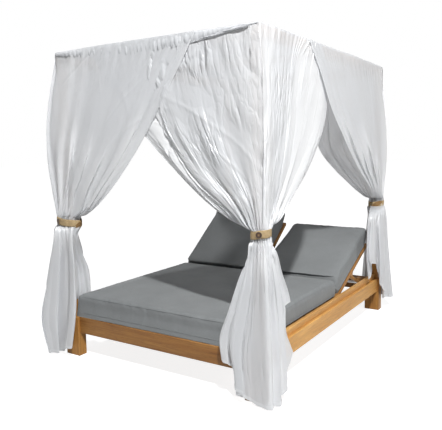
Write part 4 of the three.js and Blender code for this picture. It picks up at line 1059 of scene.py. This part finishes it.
def laid_lines(curtain, part, height, start, share):
    """Shifts of the whole cloth from its bundle, along and off the bed, at each height."""
    lines = curtain[part]
    far = max(abs(lines[0][1][-1][0] - start), 1)
    reach = abs(height - start) / far
    shares = np.array([place for place, _ in lines])
    shifts = np.empty((2, len(lines), len(height)))
    for number, (place, rows) in enumerate(lines):
        home = [float(x) for x in bundle_place(curtain, np.array(place))]
        levels, *ways = zip(*rows)
        stations = [0.0, *((abs(z - start) / far) ** LINE_EASE for z in levels)]
        at = np.minimum(reach, stations[-1] ** (1 / LINE_EASE)) ** LINE_EASE
        for way, values in enumerate(ways):
            shifts[way, number] = hermite(at, stations, [0.0, *(v - home[way] for v in values)])
    k = np.clip(np.searchsorted(shares, share, side="right") - 1, 0, len(shares) - 2)
    u = (share - shares[k]) / (shares[k + 1] - shares[k])
    return [lerp(values[k].T, values[k + 1].T, u) for values in shifts]


def from_tie(z):
    """How far a height lies above the tie's band and how far below it."""
    return np.maximum(z - BAND_TOP, 0), np.maximum(BAND_FOOT - z, 0)


def laid_pleats(curtain, share, z, along, off):
    """Lays the cloth over itself in flat pleats, each over the one nearer the free edge."""
    above, below = from_tie(z)
    doubled = np.zeros_like(z)
    for part, place, half, width, top, width_below, lift in curtain["pleats"]:
        on_part = share < 0.5 if part == "end" else share >= 0.5
        from_edge = share if part == "end" else 1 - share
        drift = 0.012 * wander(z / 310, place * 40 + z * 0, curtain["seed"])
        t = (from_edge - place - drift) / half
        up = lerp(LAID_CLOSED, width, smooth(above / LAID_RISE)) * smooth((top - z) / LAID_FADE)
        down = lerp(LAID_CLOSED, width_below, smooth(below / SKIRT_SPREAD))
        grown = np.where(z > BAND_TOP, up, down)
        back = 0.5 * np.sin(np.pi * np.clip(t, -1, 1))
        over = smooth(t + 0.65) * (1 - smooth((t - 0.7) / 2.2))
        along = along + np.where(on_part, grown * back, 0)
        off = off + np.where(on_part, lift * over * np.minimum(1, grown / 40), 0)
        twice = smooth(1.4 - np.abs(t) * 0.9) * np.minimum(1, grown / 50)
        doubled = np.maximum(doubled, np.where(on_part, twice, 0))
    return along, off, doubled


def fold_offsets(curtain, share, z):
    """How far the cloth stands out of its plain path: gathers, radiating folds, soft waves."""
    def wave(count, at):
        return np.sin(2 * np.pi * count * at)

    seed = curtain["seed"]
    above, below = from_tie(z)
    drift = 0.010 * wander(share * 5, z / 420, seed)
    uneven = share + drift + 0.055 * wander(share * 6, z * 0, seed + 1)
    near_tie = np.exp(-(above + 1.7 * below) / GATHER_REACH)
    total = GATHER_DEPTH * near_tie * wave(GATHERS, uneven)
    swell = (above / RAY_REACH) * np.exp(1 - above / RAY_REACH)
    total += RAY_DEPTH * swell * curtain["rays"] * wave(RAYS, uneven + 0.5 * drift)
    open_part = smooth(above / BROAD_RISE) * (1 - 0.75 * smooth((z - BROAD_TOP) / 300))
    total += BROAD_DEPTH * open_part * wander(share * 8 + z / 900, z / 700, seed + 4)
    pleat = wave(HEADING_PLEATS, share + 0.03 * wander(share * 12, z * 0, seed + 5))
    total += HEADING_DEPTH * smooth((z - HEADING_FOOT) / HEADING_RISE) * pleat
    folds = wave(1, SKIRT_FOLDS * share + 0.35 * wander(share * 4, z / 600, seed + 7))
    ripple = SKIRT_RIPPLE * wander(share * 8, z / 380, seed + 8)
    return total + smooth(below / SKIRT_SPREAD) * (SKIRT_DEPTH * folds + ripple)


def fold_lines(x, z, seed, count, deepest):
    """Straight creases from folding: each is a long ridge or valley with a sharp middle."""
    draw = np.random.default_rng(seed)
    total = np.zeros_like(x)
    for number in range(count):
        middle_x, middle_z = draw.uniform(x.min(), x.max()), draw.uniform(z.min(), z.max())
        lean = math.radians((62 if number % 3 else -44) + draw.uniform(-14, 14))
        length, width = draw.uniform(110, 420), draw.uniform(8, 22)
        depth = deepest * draw.uniform(0.4, 1.0) * (1 if number % 2 else -1)
        run = (x - middle_x) * math.cos(lean) + (z - middle_z) * math.sin(lean)
        away = (z - middle_z) * math.cos(lean) - (x - middle_x) * math.sin(lean) + 0.0004 * run ** 2
        ends = smooth((length - np.abs(run)) / (0.5 * length))
        total += depth * np.maximum(0, 1 - np.abs(away) / width) * ends
    return total


def crumple_offsets(curtain, share, z):
    """Packing creases, strongest where the cloth spreads away from its tie."""
    seed, width = curtain["seed"] + 30, curtain["flat"][0] * 1000
    x = share * width
    amount = curtain["crumple"] * smooth((z - BAND_TOP) / 200)
    amount = amount * (0.10 + 0.90 * smooth((0.50 - share) / 0.06))
    a, b = (x + 0.8 * z) / 60, (x - 0.9 * z) / 130
    fine = creases(a, b, seed) * 1.6 + creases(a * 2.1, b * 2.3, seed + 3) * 0.9
    patch = smooth(0.35 + 1.9 * wander(x / 210 + 0.3, z / 240, seed + 6))
    broad = 5.0 * wander((x + 0.5 * z) / 330, (z - 0.4 * x) / 420, seed + 8)
    long = fold_lines(x, z, seed + 1, FOLD_LINES, FOLD_LINE_DEPTH)
    return (long * (0.35 + 0.65 * patch) + fine * patch + broad) * amount


def curtain_grid(curtain):
    """Places along and off the bed, and heights, on one grid of the cloth."""
    share = np.linspace(0, 1, CURTAIN_COLUMNS)
    rise = np.linspace(0, 1, DRAPE_ROWS) ** DRAPE_EASE
    fall = np.linspace(1, 0, SKIRT_ROWS) ** SKIRT_EASE
    hem = np.interp(share, *zip(*curtain["hem"]))
    hem = np.maximum(hem + 4 * wander(share * 11, share * 0, curtain["seed"] + 3), 4)

    up = BAND_TOP + rise * (CURTAIN_TOP - BAND_TOP)
    drape = laid_lines(curtain, "drape", up, BAND_TOP, share)
    drape_z = np.repeat(up[:, None], CURTAIN_COLUMNS, 1)

    lowest = min(z for _, z in curtain["hem"])
    down = lowest + (BAND_FOOT - lowest) * (1 - fall)
    base = laid_lines(curtain, "skirt", down[::-1], BAND_FOOT, share)
    skirt_z = hem[None, :] + (BAND_FOOT - hem[None, :]) * (1 - fall)[:, None]
    skirt = [np.stack([np.interp(skirt_z[:, k], down, part[::-1, k]) for k in range(CURTAIN_COLUMNS)],
                      axis=1) for part in base]

    along, off = (np.concatenate(parts) + home
                  for *parts, home in zip(skirt, drape, bundle_place(curtain, share)))
    return share, along, off, np.concatenate([skirt_z, drape_z])


def softened(values, times):
    for _ in range(times):
        inner = (values[:, :-2] + 2 * values[:, 1:-1] + values[:, 2:]) / 4
        values = np.concatenate([values[:, :1], inner, values[:, -1:]], axis=1)
    return values


def clear_of_wood(p, q, z, on_end):
    """Moves the cloth out of the post, and at the top out of the beams."""
    middle, need = HALF_POST, HALF_POST + POST_CLEARANCE
    far = np.maximum(np.maximum(np.abs(p - middle), np.abs(q - middle)), 1e-3)
    push = np.maximum(1.0, need / far)
    p, q = middle + (p - middle) * push, middle + (q - middle) * push
    high = smooth((z - (ROOF_Z - BEAM_REACH)) / BEAM_FADE)
    q = np.where(on_end, lerp(q, np.minimum(q, -POST_CLEARANCE), high), q)
    p = np.where(~on_end, lerp(p, np.minimum(p, -POST_CLEARANCE), high), p)
    return p, q


def curtain_places(curtain):
    """Corner-local places of the cloth, heights, outward directions and shares."""
    share, along, off, z = curtain_grid(curtain)
    whole_share = np.repeat(share[None, :], len(z), 0)
    on_end = whole_share < 0.5
    p = softened(np.where(on_end, along, -off), 6)
    q = softened(np.where(on_end, -off, along), 6)
    run_p, run_q = np.gradient(p, axis=1), np.gradient(q, axis=1)
    length = np.maximum(np.hypot(run_p, run_q), 1e-6)
    out_p, out_q = softened(-run_q / length, 14), softened(run_p / length, 14)
    folds = fold_offsets(curtain, whole_share, z) + crumple_offsets(curtain, whole_share, z)
    under = np.maximum(BAND_FOOT + 12 - z, 0)
    folds = folds + FLARE_DEPTH * smooth(under / 24) * np.exp(-under / FLARE_REACH)
    band = np.exp(-((z - TIE_HEIGHT) / 32) ** 2)
    folds = folds * (1 - 0.5 * band) - 3 * band
    flat_along, flat_off, layers_and_painted_light = laid_pleats(curtain, whole_share, z, along, off)
    # painted light: the white table whitens lit sides and bright folds on top of where the cloth lies
    # doubled; below the tie this fades
    layers_and_painted_light = np.clip(0.45 * layers_and_painted_light + np.interp(whole_share, *zip(*curtain["white"])), 0, 1)
    layers_and_painted_light = layers_and_painted_light * (1 - 0.80 * smooth((BAND_FOOT - z) / SKIRT_SPREAD))
    shift_along, shift_off = flat_along - along, flat_off - off
    p = p + np.where(on_end, shift_along, -shift_off) + out_p * folds
    q = q + np.where(on_end, -shift_off, shift_along) + out_q * folds
    p, q = softened(p, 1), softened(q, 1)
    p, q = clear_of_wood(p, q, z, on_end)
    return p, q, z, out_p, out_q, whole_share, layers_and_painted_light


def make_curtain(name, material):
    curtain = CURTAINS[name]
    side, end = corner_signs(name)
    p, q, z, out_p, out_q, share, layers_and_painted_light = curtain_places(curtain)
    rows, columns = z.shape
    edge = max(3, round(HEM_WIDTH * columns / (curtain["flat"][0] * 1000)))
    every, last = slice(0, rows), columns - edge
    patches = [(every, slice(0, columns), 0.0, 0.0), (every, slice(0, edge), HEM_LIFT, SIDE_HEM_WHITE),
               (every, slice(last, columns), HEM_LIFT, SIDE_HEM_WHITE),
               (slice(0, HEM_ROWS), slice(edge, last), HEM_LIFT, FOOT_HEM_WHITE)]
    points, faces, uv, whiteness, count = [], [], [], [], 0
    for across, along, lift, white in patches:
        part = (across, along)
        whiteness.append(np.maximum(layers_and_painted_light[part], white).ravel())
        x = side * (POST_FACE_X - p[part] - out_p[part] * lift)
        y = end * (POST_FACE_Y - q[part] - out_q[part] * lift)
        points.append(np.stack([x, y, z[part]], axis=2).reshape(-1, 3) * MM)
        width = curtain["flat"][0] * share[part]
        uv.append(np.stack([width, z[part] * MM], axis=2).reshape(-1, 2))
        quads = grid_faces(*x.shape, start=count)
        faces.append(quads[:, ::-1] if side * end > 0 else quads)
        count += x.size
    whole = mesh_piece("curtain_cloth_" + name, np.concatenate(points), np.concatenate(faces),
                       material, uv=np.concatenate(uv))
    marks = whole.data.attributes.new("layers_and_painted_light", "FLOAT", "POINT")
    marks.data.foreach_set("value", np.concatenate(whiteness).astype(np.float32))
    fitted(whole, "frame", "curtain_" + name)


# ----------------------------------------------------------------- roof cloth

# Drop of the roof cloth's edge below the roof along each side, in millimetres
FOOT_DROPS = [(-745, 24), (-722, 25), (-510, 51), (-327, 69), (-83, 82), (127, 74), (253, 66),
              (640, 12), (745, 8)]
ROOF_STAND_OFF, ROOF_SAG = 15, 9.0
ROOF_COLUMNS, ROOF_ROWS, DROP_ROWS = 150, 190, 14
# Places along the foot side and radii there of the edge's twisted fold
TWIST = [(236, 2), (300, 4), (460, 5), (600, 6), (640, 9), (668, 8), (690, 2)]
TWIST_SIDES = 20


def edge_drop(side, at):
    if side == "foot":
        return np.interp(at, *zip(*FOOT_DROPS))
    if side == "right":
        return 9 + 2 * wander(at / 90, at * 0, 5)
    return 66 + 8 * wander(at / 260, at * 0, 6)


def make_roof_cloth(material):
    """One sheet over the beams: it sags between them and its gathered edge hangs down outside."""
    x = np.linspace(-POST_FACE_X, POST_FACE_X, ROOF_COLUMNS)
    y = np.linspace(-POST_FACE_Y, POST_FACE_Y, ROOF_ROWS)
    gx, gy = np.meshgrid(x, y)
    inside = np.clip((POST_FACE_X - np.abs(gx)) / 300, 0, 1)
    bay = np.abs(np.sin(np.pi * gy / POST_FACE_Y))
    sag = -ROOF_SAG * inside * bay
    ruck = 2.0 * wander(gx / 70, gy / 150, 81) + 1.2 * wander(gx / 31, gy / 60, 82)
    gz = ROOF_Z + 1.5 + (sag + ruck * np.minimum(1, inside * 2 + 0.15))
    gz = np.where(bay * inside < 0.06, np.maximum(gz, ROOF_Z + 0.6), gz)
    all_points = np.stack([gx, gy, gz], axis=2).reshape(-1, 3)
    faces = [grid_faces(ROOF_ROWS, ROOF_COLUMNS)]
    uv = [np.stack([gx, gy], axis=2).reshape(-1, 2) * MM]
    index = np.arange(ROOF_ROWS * ROOF_COLUMNS).reshape(ROOF_ROWS, ROOF_COLUMNS)
    rims = {
        "foot": (index[0, :], x, (0, -1)), "right": (index[:, -1], y, (1, 0)),
        "head": (index[-1, ::-1], x[::-1], (0, 1)), "left": (index[::-1, 0], y[::-1], (-1, 0)),
    }
    for side, (rim, at, out) in rims.items():
        drop = edge_drop(side, at)
        share = np.linspace(0, 1, DROP_ROWS + 1)[1:, None]
        pleat = np.sin(2 * np.pi * (at / 34 + 1.6 * wander(at / 110, at * 0, 90)))
        fine = np.sin(2 * np.pi * (at / 13 + 1.1 * wander(at / 60, at * 0, 91)))
        round_share = np.sin(np.pi * (0.15 + 0.6 * share))
        swell = ROOF_STAND_OFF * np.sqrt(np.minimum(1, drop / 60)) * round_share + 1.5
        wave = (4.6 * pleat + 2.2 * fine) * smooth(share * 2.0) * np.minimum(1, drop / 40)
        if side == "right":
            swell, wave = 0.12 * swell + 1.0, wave * 0.15
        away = swell + wave
        start_x, start_y, start_z = all_points[rim].T
        fall = start_z - drop * share
        rows = np.stack([start_x + out[0] * away, start_y + out[1] * away, fall], axis=2)
        base = len(all_points)
        all_points = np.concatenate([all_points, rows.reshape(-1, 3)])
        grid = np.concatenate([rim, base + np.arange(fall.size)]).reshape(-1, len(at))
        quads = np.stack([grid[1:, :-1], grid[1:, 1:], grid[:-1, 1:], grid[:-1, :-1]], axis=2)
        faces.append(quads.reshape(-1, 4))
        flat_at = np.broadcast_to(at, fall.shape) * 1.3
        uv.append(np.stack([flat_at, fall], axis=2).reshape(-1, 2) * MM)
    piece = mesh_piece("roof_cloth_sheet", all_points * MM, np.concatenate(faces), material,
                       uv=np.concatenate(uv))
    fitted(piece, "frame", "roof_cloth")
    twist = fitted(make_twisted_edge(material), "frame")


def make_twisted_edge(material):
    """The roof cloth's edge, rolled and pulled up to the corner in a twisted fold."""
    x = np.linspace(TWIST[0][0], TWIST[-1][0], 120)
    drop = np.interp(x, *zip(*FOOT_DROPS))
    z = ROOF_Z - drop + 2 * wander(x / 60, x * 0, 95)
    y = -POST_FACE_Y - 10 - 3 * wander(x / 80, x * 0, 96)
    radius = np.interp(x, *zip(*TWIST))
    path = np.stack([x, y, z], axis=1)
    points, faces = tube(path, 1.0, TWIST_SIDES)
    centre = np.repeat(path, TWIST_SIDES, 0)
    turn = np.tile(np.linspace(0, 2 * np.pi, TWIST_SIDES, endpoint=False), len(path))
    run = np.repeat(x, TWIST_SIDES)
    uneven = 1 + 0.28 * np.sin(3 * turn + run / 22) + 0.12 * np.sin(7 * turn - run / 13)
    grown = np.repeat(radius, TWIST_SIDES) * uneven
    points = centre + (points - centre) * grown[:, None]
    uv = np.stack([run, turn * 8], axis=1) * MM
    return outward(mesh_piece("roof_cloth_twist", points * MM, faces, material, uv=uv))


# ----------------------------------------------------------------------- ties

# Each band: width, lift, tilt and the turn of its high side, its button's turn, and where the
# cloth's end crosses under it and how far that spreads, in millimetres and degrees
TIES = {
    "foot_right": (43, 10, 8, 190, 73, None), "foot_left": (46, -2, 11, 185, 68, (12, 76)),
    "head_right": (44, -9, 9, 260, 60, (110, 80)), "head_left": (46, 0, 4, 30, 60, (150, 80)),
}
BAND_STAND, BAND_THICKNESS = 10.0, 2.5
TAB_REACH, TAB_THICKNESS, TAB_FOOT, TAB_RISE = 74, 2.0, 2.2, 4.6
CROSS_STAND = 3.2
# Where the tab and the crossing end lie on the canvas's pattern, apart from the band
TAB_PATTERN, CROSS_PATTERN = 300, 500
STITCH_INSET = 4
STITCH_SIZES = {"Pitch": 5.0 * MM, "Length": 3.4 * MM, "Radius": 0.45 * MM}


def corner_signs(name):
    """Which way a corner of the bed lies from its centre, along X and along Y."""
    return 1 if name.endswith("right") else -1, 1 if name.startswith("head") else -1


def tie_point(name, angle, level, swell):
    """A point of a band round its bundle: level is -1 on its lower edge and 1 on its upper."""
    side, end = corner_signs(name)
    width, lift, tilt, high, _, _ = TIES[name]
    centre_p, centre_q, radius_p, radius_q = CURTAINS[name]["bundle"]
    away = swell + 1.6 * (1 - level ** 2) + 0.9 * wander(angle * 5, level * 1.5, 7)
    p = centre_p + (radius_p + away) * np.cos(angle)
    q = centre_q + (radius_q + away) * np.sin(angle)
    z = (TIE_HEIGHT + lift + level * width / 2 + tilt * np.cos(angle - math.radians(high))
         + 1.8 * wander(angle * 1.6, angle * 0, 8 + side))
    return np.stack([side * (POST_FACE_X - p), end * (POST_FACE_Y - q), z], axis=-1)


def strip(label, name, turn, level, stand, thickness, flat, material, ring=False):
    """A closed strip of canvas round a tie's bundle: stand is its outer face's, flat its own place."""
    turn, level = np.broadcast_arrays(turn, level)
    rows, columns = turn.shape
    total = rows * columns
    points = [tie_point(name, turn, level, stand - depth).reshape(-1, 3) for depth in (0, thickness)]
    faces = [grid_faces(rows, columns, ring=ring), grid_faces(rows, columns, total, ring)[:, ::-1]]
    index = np.arange(total).reshape(rows, columns)
    rims = [index[0], index[-1][::-1]]
    if ring:
        rims = [np.append(rim, rim[0]) for rim in rims]
    else:
        rims += [index[::-1, 0], index[:, -1]]
    for rim in rims:
        faces.append(np.stack([rim[:-1], total + rim[:-1], total + rim[1:], rim[1:]], axis=1))
    uv = np.stack(np.broadcast_arrays(*flat), axis=-1).reshape(-1, 2)
    return outward(mesh_piece(f"tie_{label}_cloth_{name}", np.concatenate(points) * MM,
                              np.concatenate(faces), material, uv=np.concatenate([uv] * 2) * MM))


def make_tie(name, material, dark, horn, pale, yarn):
    """A canvas band round the bundle, with its round tab, its crossing end and its button."""
    width, _, _, _, button_turn, crossing = TIES[name]
    radius = sum(CURTAINS[name]["bundle"][2:]) / 2 + BAND_STAND
    angle = np.linspace(0, 2 * np.pi, 160, endpoint=False)[None, :]
    level = np.linspace(-1, 1, 9)[:, None]
    parts = [strip("band", name, angle, level, BAND_STAND, BAND_THICKNESS,
                   (angle * radius, level * width / 2), material, ring=True)]
    # the tab: it runs from behind to a round end about its button
    half = width / 2 - 0.5
    run = np.linspace(0, 1, 60)[None, :] * (TAB_REACH + half)
    from_end = np.maximum(run - TAB_REACH, 0)
    shrink = np.sqrt(np.maximum(1 - (from_end / half) ** 2, 0.004))
    facing = math.radians(button_turn + 180)
    stand = BAND_STAND + TAB_FOOT + (TAB_RISE - TAB_FOOT) * smooth(run / 30)
    parts.append(strip("tab", name, facing + (TAB_REACH - run) / radius, level * shrink * 0.98,
                       stand, TAB_THICKNESS, (run + TAB_PATTERN, level * shrink * half), material))
    # a stitched line inside the tab's edge
    inset = np.linspace(-1, 1, 120)
    round_end = np.abs(inset) < 0.5
    inner = half - STITCH_INSET
    path_run = np.where(round_end, TAB_REACH + inner * np.cos(inset * np.pi),
                        TAB_REACH * (1 - (np.abs(inset) - 0.5) * 1.7))
    path_level = np.where(round_end, np.sin(inset * np.pi), np.sign(inset)) * inner / half
    line = tie_point(name, facing + (TAB_REACH - path_run) / radius, path_level,
                     BAND_STAND + TAB_RISE + 0.15)
    path = bpy.data.meshes.new("tie_stitch_" + name)
    path.from_pydata([tuple(p) for p in line * MM], [(i, i + 1) for i in range(len(line) - 1)], [])
    parts.append(repeated(new_piece("tie_stitch_" + name, path), STITCHES,
                          {**STITCH_SIZES, "Material": yarn}))
    if crossing:
        middle, spread = (math.radians(v) for v in crossing)
        part = np.linspace(-1, 1, 50)[None, :]
        rise = np.clip(level * (1 - 0.35 * np.abs(part)) + 0.95 * part, -1.35, 1.15)
        parts.append(strip("cross", name, middle + part * spread / 2, rise, BAND_STAND + CROSS_STAND,
                           TAB_THICKNESS, (part * 60 + CROSS_PATTERN, level * width / 2), dark))
    fitted(joined("tie_band_cloth_" + name, parts), "frame", "tie_band_" + name)
    make_button(name, horn, pale, yarn, math.radians(button_turn))


# Profiles of a button's rim and dished face and of the collar of a hole, in millimetres
BUTTON_RIM = [(7.4, 1.0), (15.0, 0.2), (16.4, 1.2), (16.6, 3.2), (15.2, 5.0), (11.6, 5.6),
              (8.2, 4.6), (7.4, 3.2)]
BUTTON_FACE = [(7.8, 0.4), (7.8, 2.8), (6.6, 3.4), (4.0, 3.2), (1.2, 3.0)]
HOLE_COLLAR = [(0.9, 2.6), (1.5, 3.0), (1.5, 3.35), (0.9, 3.45)]
HOLE_REACH = 3.0


def make_button(name, horn, pale, yarn, angle):
    """A turned horn button: dark rim, dished face, four holes crossed with yarn."""
    def towards(degrees):
        turn = math.radians(degrees)
        return np.array([math.cos(turn), math.sin(turn), 0])

    side, end = corner_signs(name)
    centre_p, centre_q, radius_p, radius_q = CURTAINS[name]["bundle"]
    out = Vector((side * math.cos(angle), end * math.sin(angle), 0))
    height = float(tie_point(name, np.array(angle + np.pi), np.array(0.0), BAND_STAND)[2])
    centre = Vector((side * (POST_FACE_X - centre_p), end * (POST_FACE_Y - centre_q), height))
    stand = math.hypot((radius_p + BAND_STAND + 6) * out.x, (radius_q + BAND_STAND + 6) * out.y)
    parts = [mesh_piece("button_rim_" + name, *turned_part(BUTTON_RIM, 48, closed=True), horn),
             mesh_piece("button_face_" + name, *turned_part(BUTTON_FACE, 48), pale)]
    share = np.linspace(-1, 1, 13)[:, None]
    lift = 3.4 + 1.5 * np.cos(share * QUARTER)
    for turn in (45, 135):
        path = share * towards(turn) * HOLE_REACH + np.array([0, 0, 1]) * lift
        parts.append(mesh_piece(f"button_yarn_{turn}_{name}", *tube(path, 0.75), yarn))
    for turn in (45, 135, 225, 315):
        points, faces = turned_part(HOLE_COLLAR, 12)
        parts.append(mesh_piece(f"button_hole_{turn}_{name}", points + towards(turn) * HOLE_REACH,
                                faces, horn))
    whole = joined("tie_button_horn_" + name, parts)
    up = Vector((0, 0, 1))
    turned = Matrix((up.cross(out), up, out)).transposed().to_4x4()
    place = Matrix.Translation((centre + out * (stand + 0.6)) * MM)
    whole.data.transform(place @ (turned @ Matrix.Scale(MM, 4)))
    fitted(outward(whole), "frame", "tie_button_" + name)


# ---------------------------------------------------------------------- stage

FLOOR_REACH = 40
WORLD_FILL = 0.038
WORLD_TINT = (0.93, 0.965, 1.0, 1)
# Floor's own light near the object and far away, and the distances, so that a shadow shows
FLOOR_GLOW = {"From Min": 1.3, "From Max": 3.6, "To Min": 0.86, "To Max": 1.0}
# Lamps: place, what they point at, width in metres and power in watts
LAMPS = {
    "key": ((2.92, -3.62, 5.40), (0.0, -0.4, 0.5), 0.26, 430),
    "left": ((-1.80, -1.20, 5.00), (-0.4, 0.0, 0.5), 0.35, 68),
    "side": ((4.20, -0.20, 2.00), (0.7, 0.0, 0.9), 1.20, 42),
}


def seen_share(work):
    """1 for what the camera sees, also by a mirror or through clear cloth."""
    path = work.add("ShaderNodeLightPath").outputs
    total = work.plus(path["Is Camera Ray"], path["Is Glossy Ray"])
    return work.math("ADD", total, path["Is Transmission Ray"], clamp=True)


def floor_material():
    """Pale floor: as light as the wall behind, with the object's shadow left in near it."""
    material, work, shader, output = new_material("pale_floor")
    work.fill(shader, {"Base Color": (0.55, 0.55, 0.55, 1), "Roughness": 0.9})
    away = work.add("ShaderNodeVectorMath", {0: work.place()}, operation="LENGTH")
    fade = work.add("ShaderNodeMapRange", {"Value": away.outputs["Value"], **FLOOR_GLOW},
                    interpolation_type="SMOOTHSTEP")
    glow = work.add("ShaderNodeEmission", {"Strength": fade.outputs["Result"]})
    pale = work.add("ShaderNodeBsdfDiffuse", {"Color": (0.5, 0.5, 0.5, 1)})
    lit = work.add("ShaderNodeAddShader", {0: glow.outputs[0], 1: pale.outputs[0]})
    work.mix_shaders(seen_share(work), shader, lit, output)
    return material


def make_stage():
    far = FLOOR_REACH
    floor = mesh_piece("floor", [(-far, -far, 0), (far, -far, 0), (far, far, 0), (-far, far, 0)],
                       [(0, 1, 2, 3)], floor_material())
    world = bpy.data.worlds.new("studio")
    world.use_nodes = True
    bpy.context.scene.world = world
    world.node_tree.nodes.clear()
    work = Nodes(world.node_tree)
    around = work.add("ShaderNodeBackground", {"Color": WORLD_TINT, "Strength": WORLD_FILL})
    shown = work.add("ShaderNodeBackground", {"Color": (1, 1, 1, 1), "Strength": 1.0})
    work.mix_shaders(seen_share(work), around, shown, work.add("ShaderNodeOutputWorld"))


def make_lamps():
    for name, (place, aim, width, power) in LAMPS.items():
        light = bpy.data.lights.new(name, "AREA")
        light.shape = "SQUARE"
        light.size = width
        light.energy = power
        lamp = new_piece(name, light)
        lamp.location = place
        lamp.rotation_mode = "QUATERNION"
        lamp.rotation_quaternion = (Vector(aim) - Vector(place)).to_track_quat("-Z", "Y")


def make_camera():
    ahead = Vector((-math.sin(CAMERA_TURN) * math.cos(CAMERA_TIP),
                    math.cos(CAMERA_TURN) * math.cos(CAMERA_TIP), -math.sin(CAMERA_TIP)))
    right = Vector((math.cos(CAMERA_TURN), math.sin(CAMERA_TURN), 0))
    up = right.cross(ahead)
    rolled = (right * math.cos(CAMERA_ROLL) + up * math.sin(CAMERA_ROLL),
              up * math.cos(CAMERA_ROLL) - right * math.sin(CAMERA_ROLL))
    turned = Matrix((rolled[0], rolled[1], -ahead)).transposed().to_4x4()
    view = bpy.data.cameras.new("camera")
    view.lens = CAMERA_LENS
    view.sensor_width = SENSOR_WIDTH
    view.clip_end = SEES_TO
    camera = new_piece("camera", view)
    camera.matrix_world = Matrix.Translation(CAMERA_PLACE) @ turned
    bpy.context.scene.camera = camera


# ------------------------------------------------------------------- assembly

bpy.context.scene.view_settings.view_transform = "Standard"
make_camera()
make_stage()
make_lamps()
dress_woodwork()

fabric = cushion_fabric()
make_seat_cushion(fabric)
for side in RECLINE:
    make_back_cushion(side, fabric)

screw_steel = steel("screw_steel")
for side in RECLINE:
    make_slat_screws(side, screw_steel)

creased_voile = sheer_cloth("white_voile_creased", creased=1.1)
smooth_voile = sheer_cloth("white_voile", creased=0.24)
for name in CURTAINS:
    make_curtain(name, creased_voile if name == "foot_right" else smooth_voile)
make_roof_cloth(sheer_cloth("white_voile_roof", creased=0.24, silk=0.0))

band_canvas = canvas("band_canvas", (201, 178, 138), (170, 143, 102))
dark_canvas = canvas("band_canvas_shaded", (150, 118, 74), (118, 88, 50))
horn = button_horn("button_horn_dark", (40, 27, 18), (66, 45, 28))
pale_horn = button_horn("button_horn_pale", (128, 92, 50), (92, 62, 34))
yarn = thread("button_yarn", (196, 178, 146))
for name in TIES:
    make_tie(name, band_canvas, dark_canvas, horn, pale_horn, yarn)
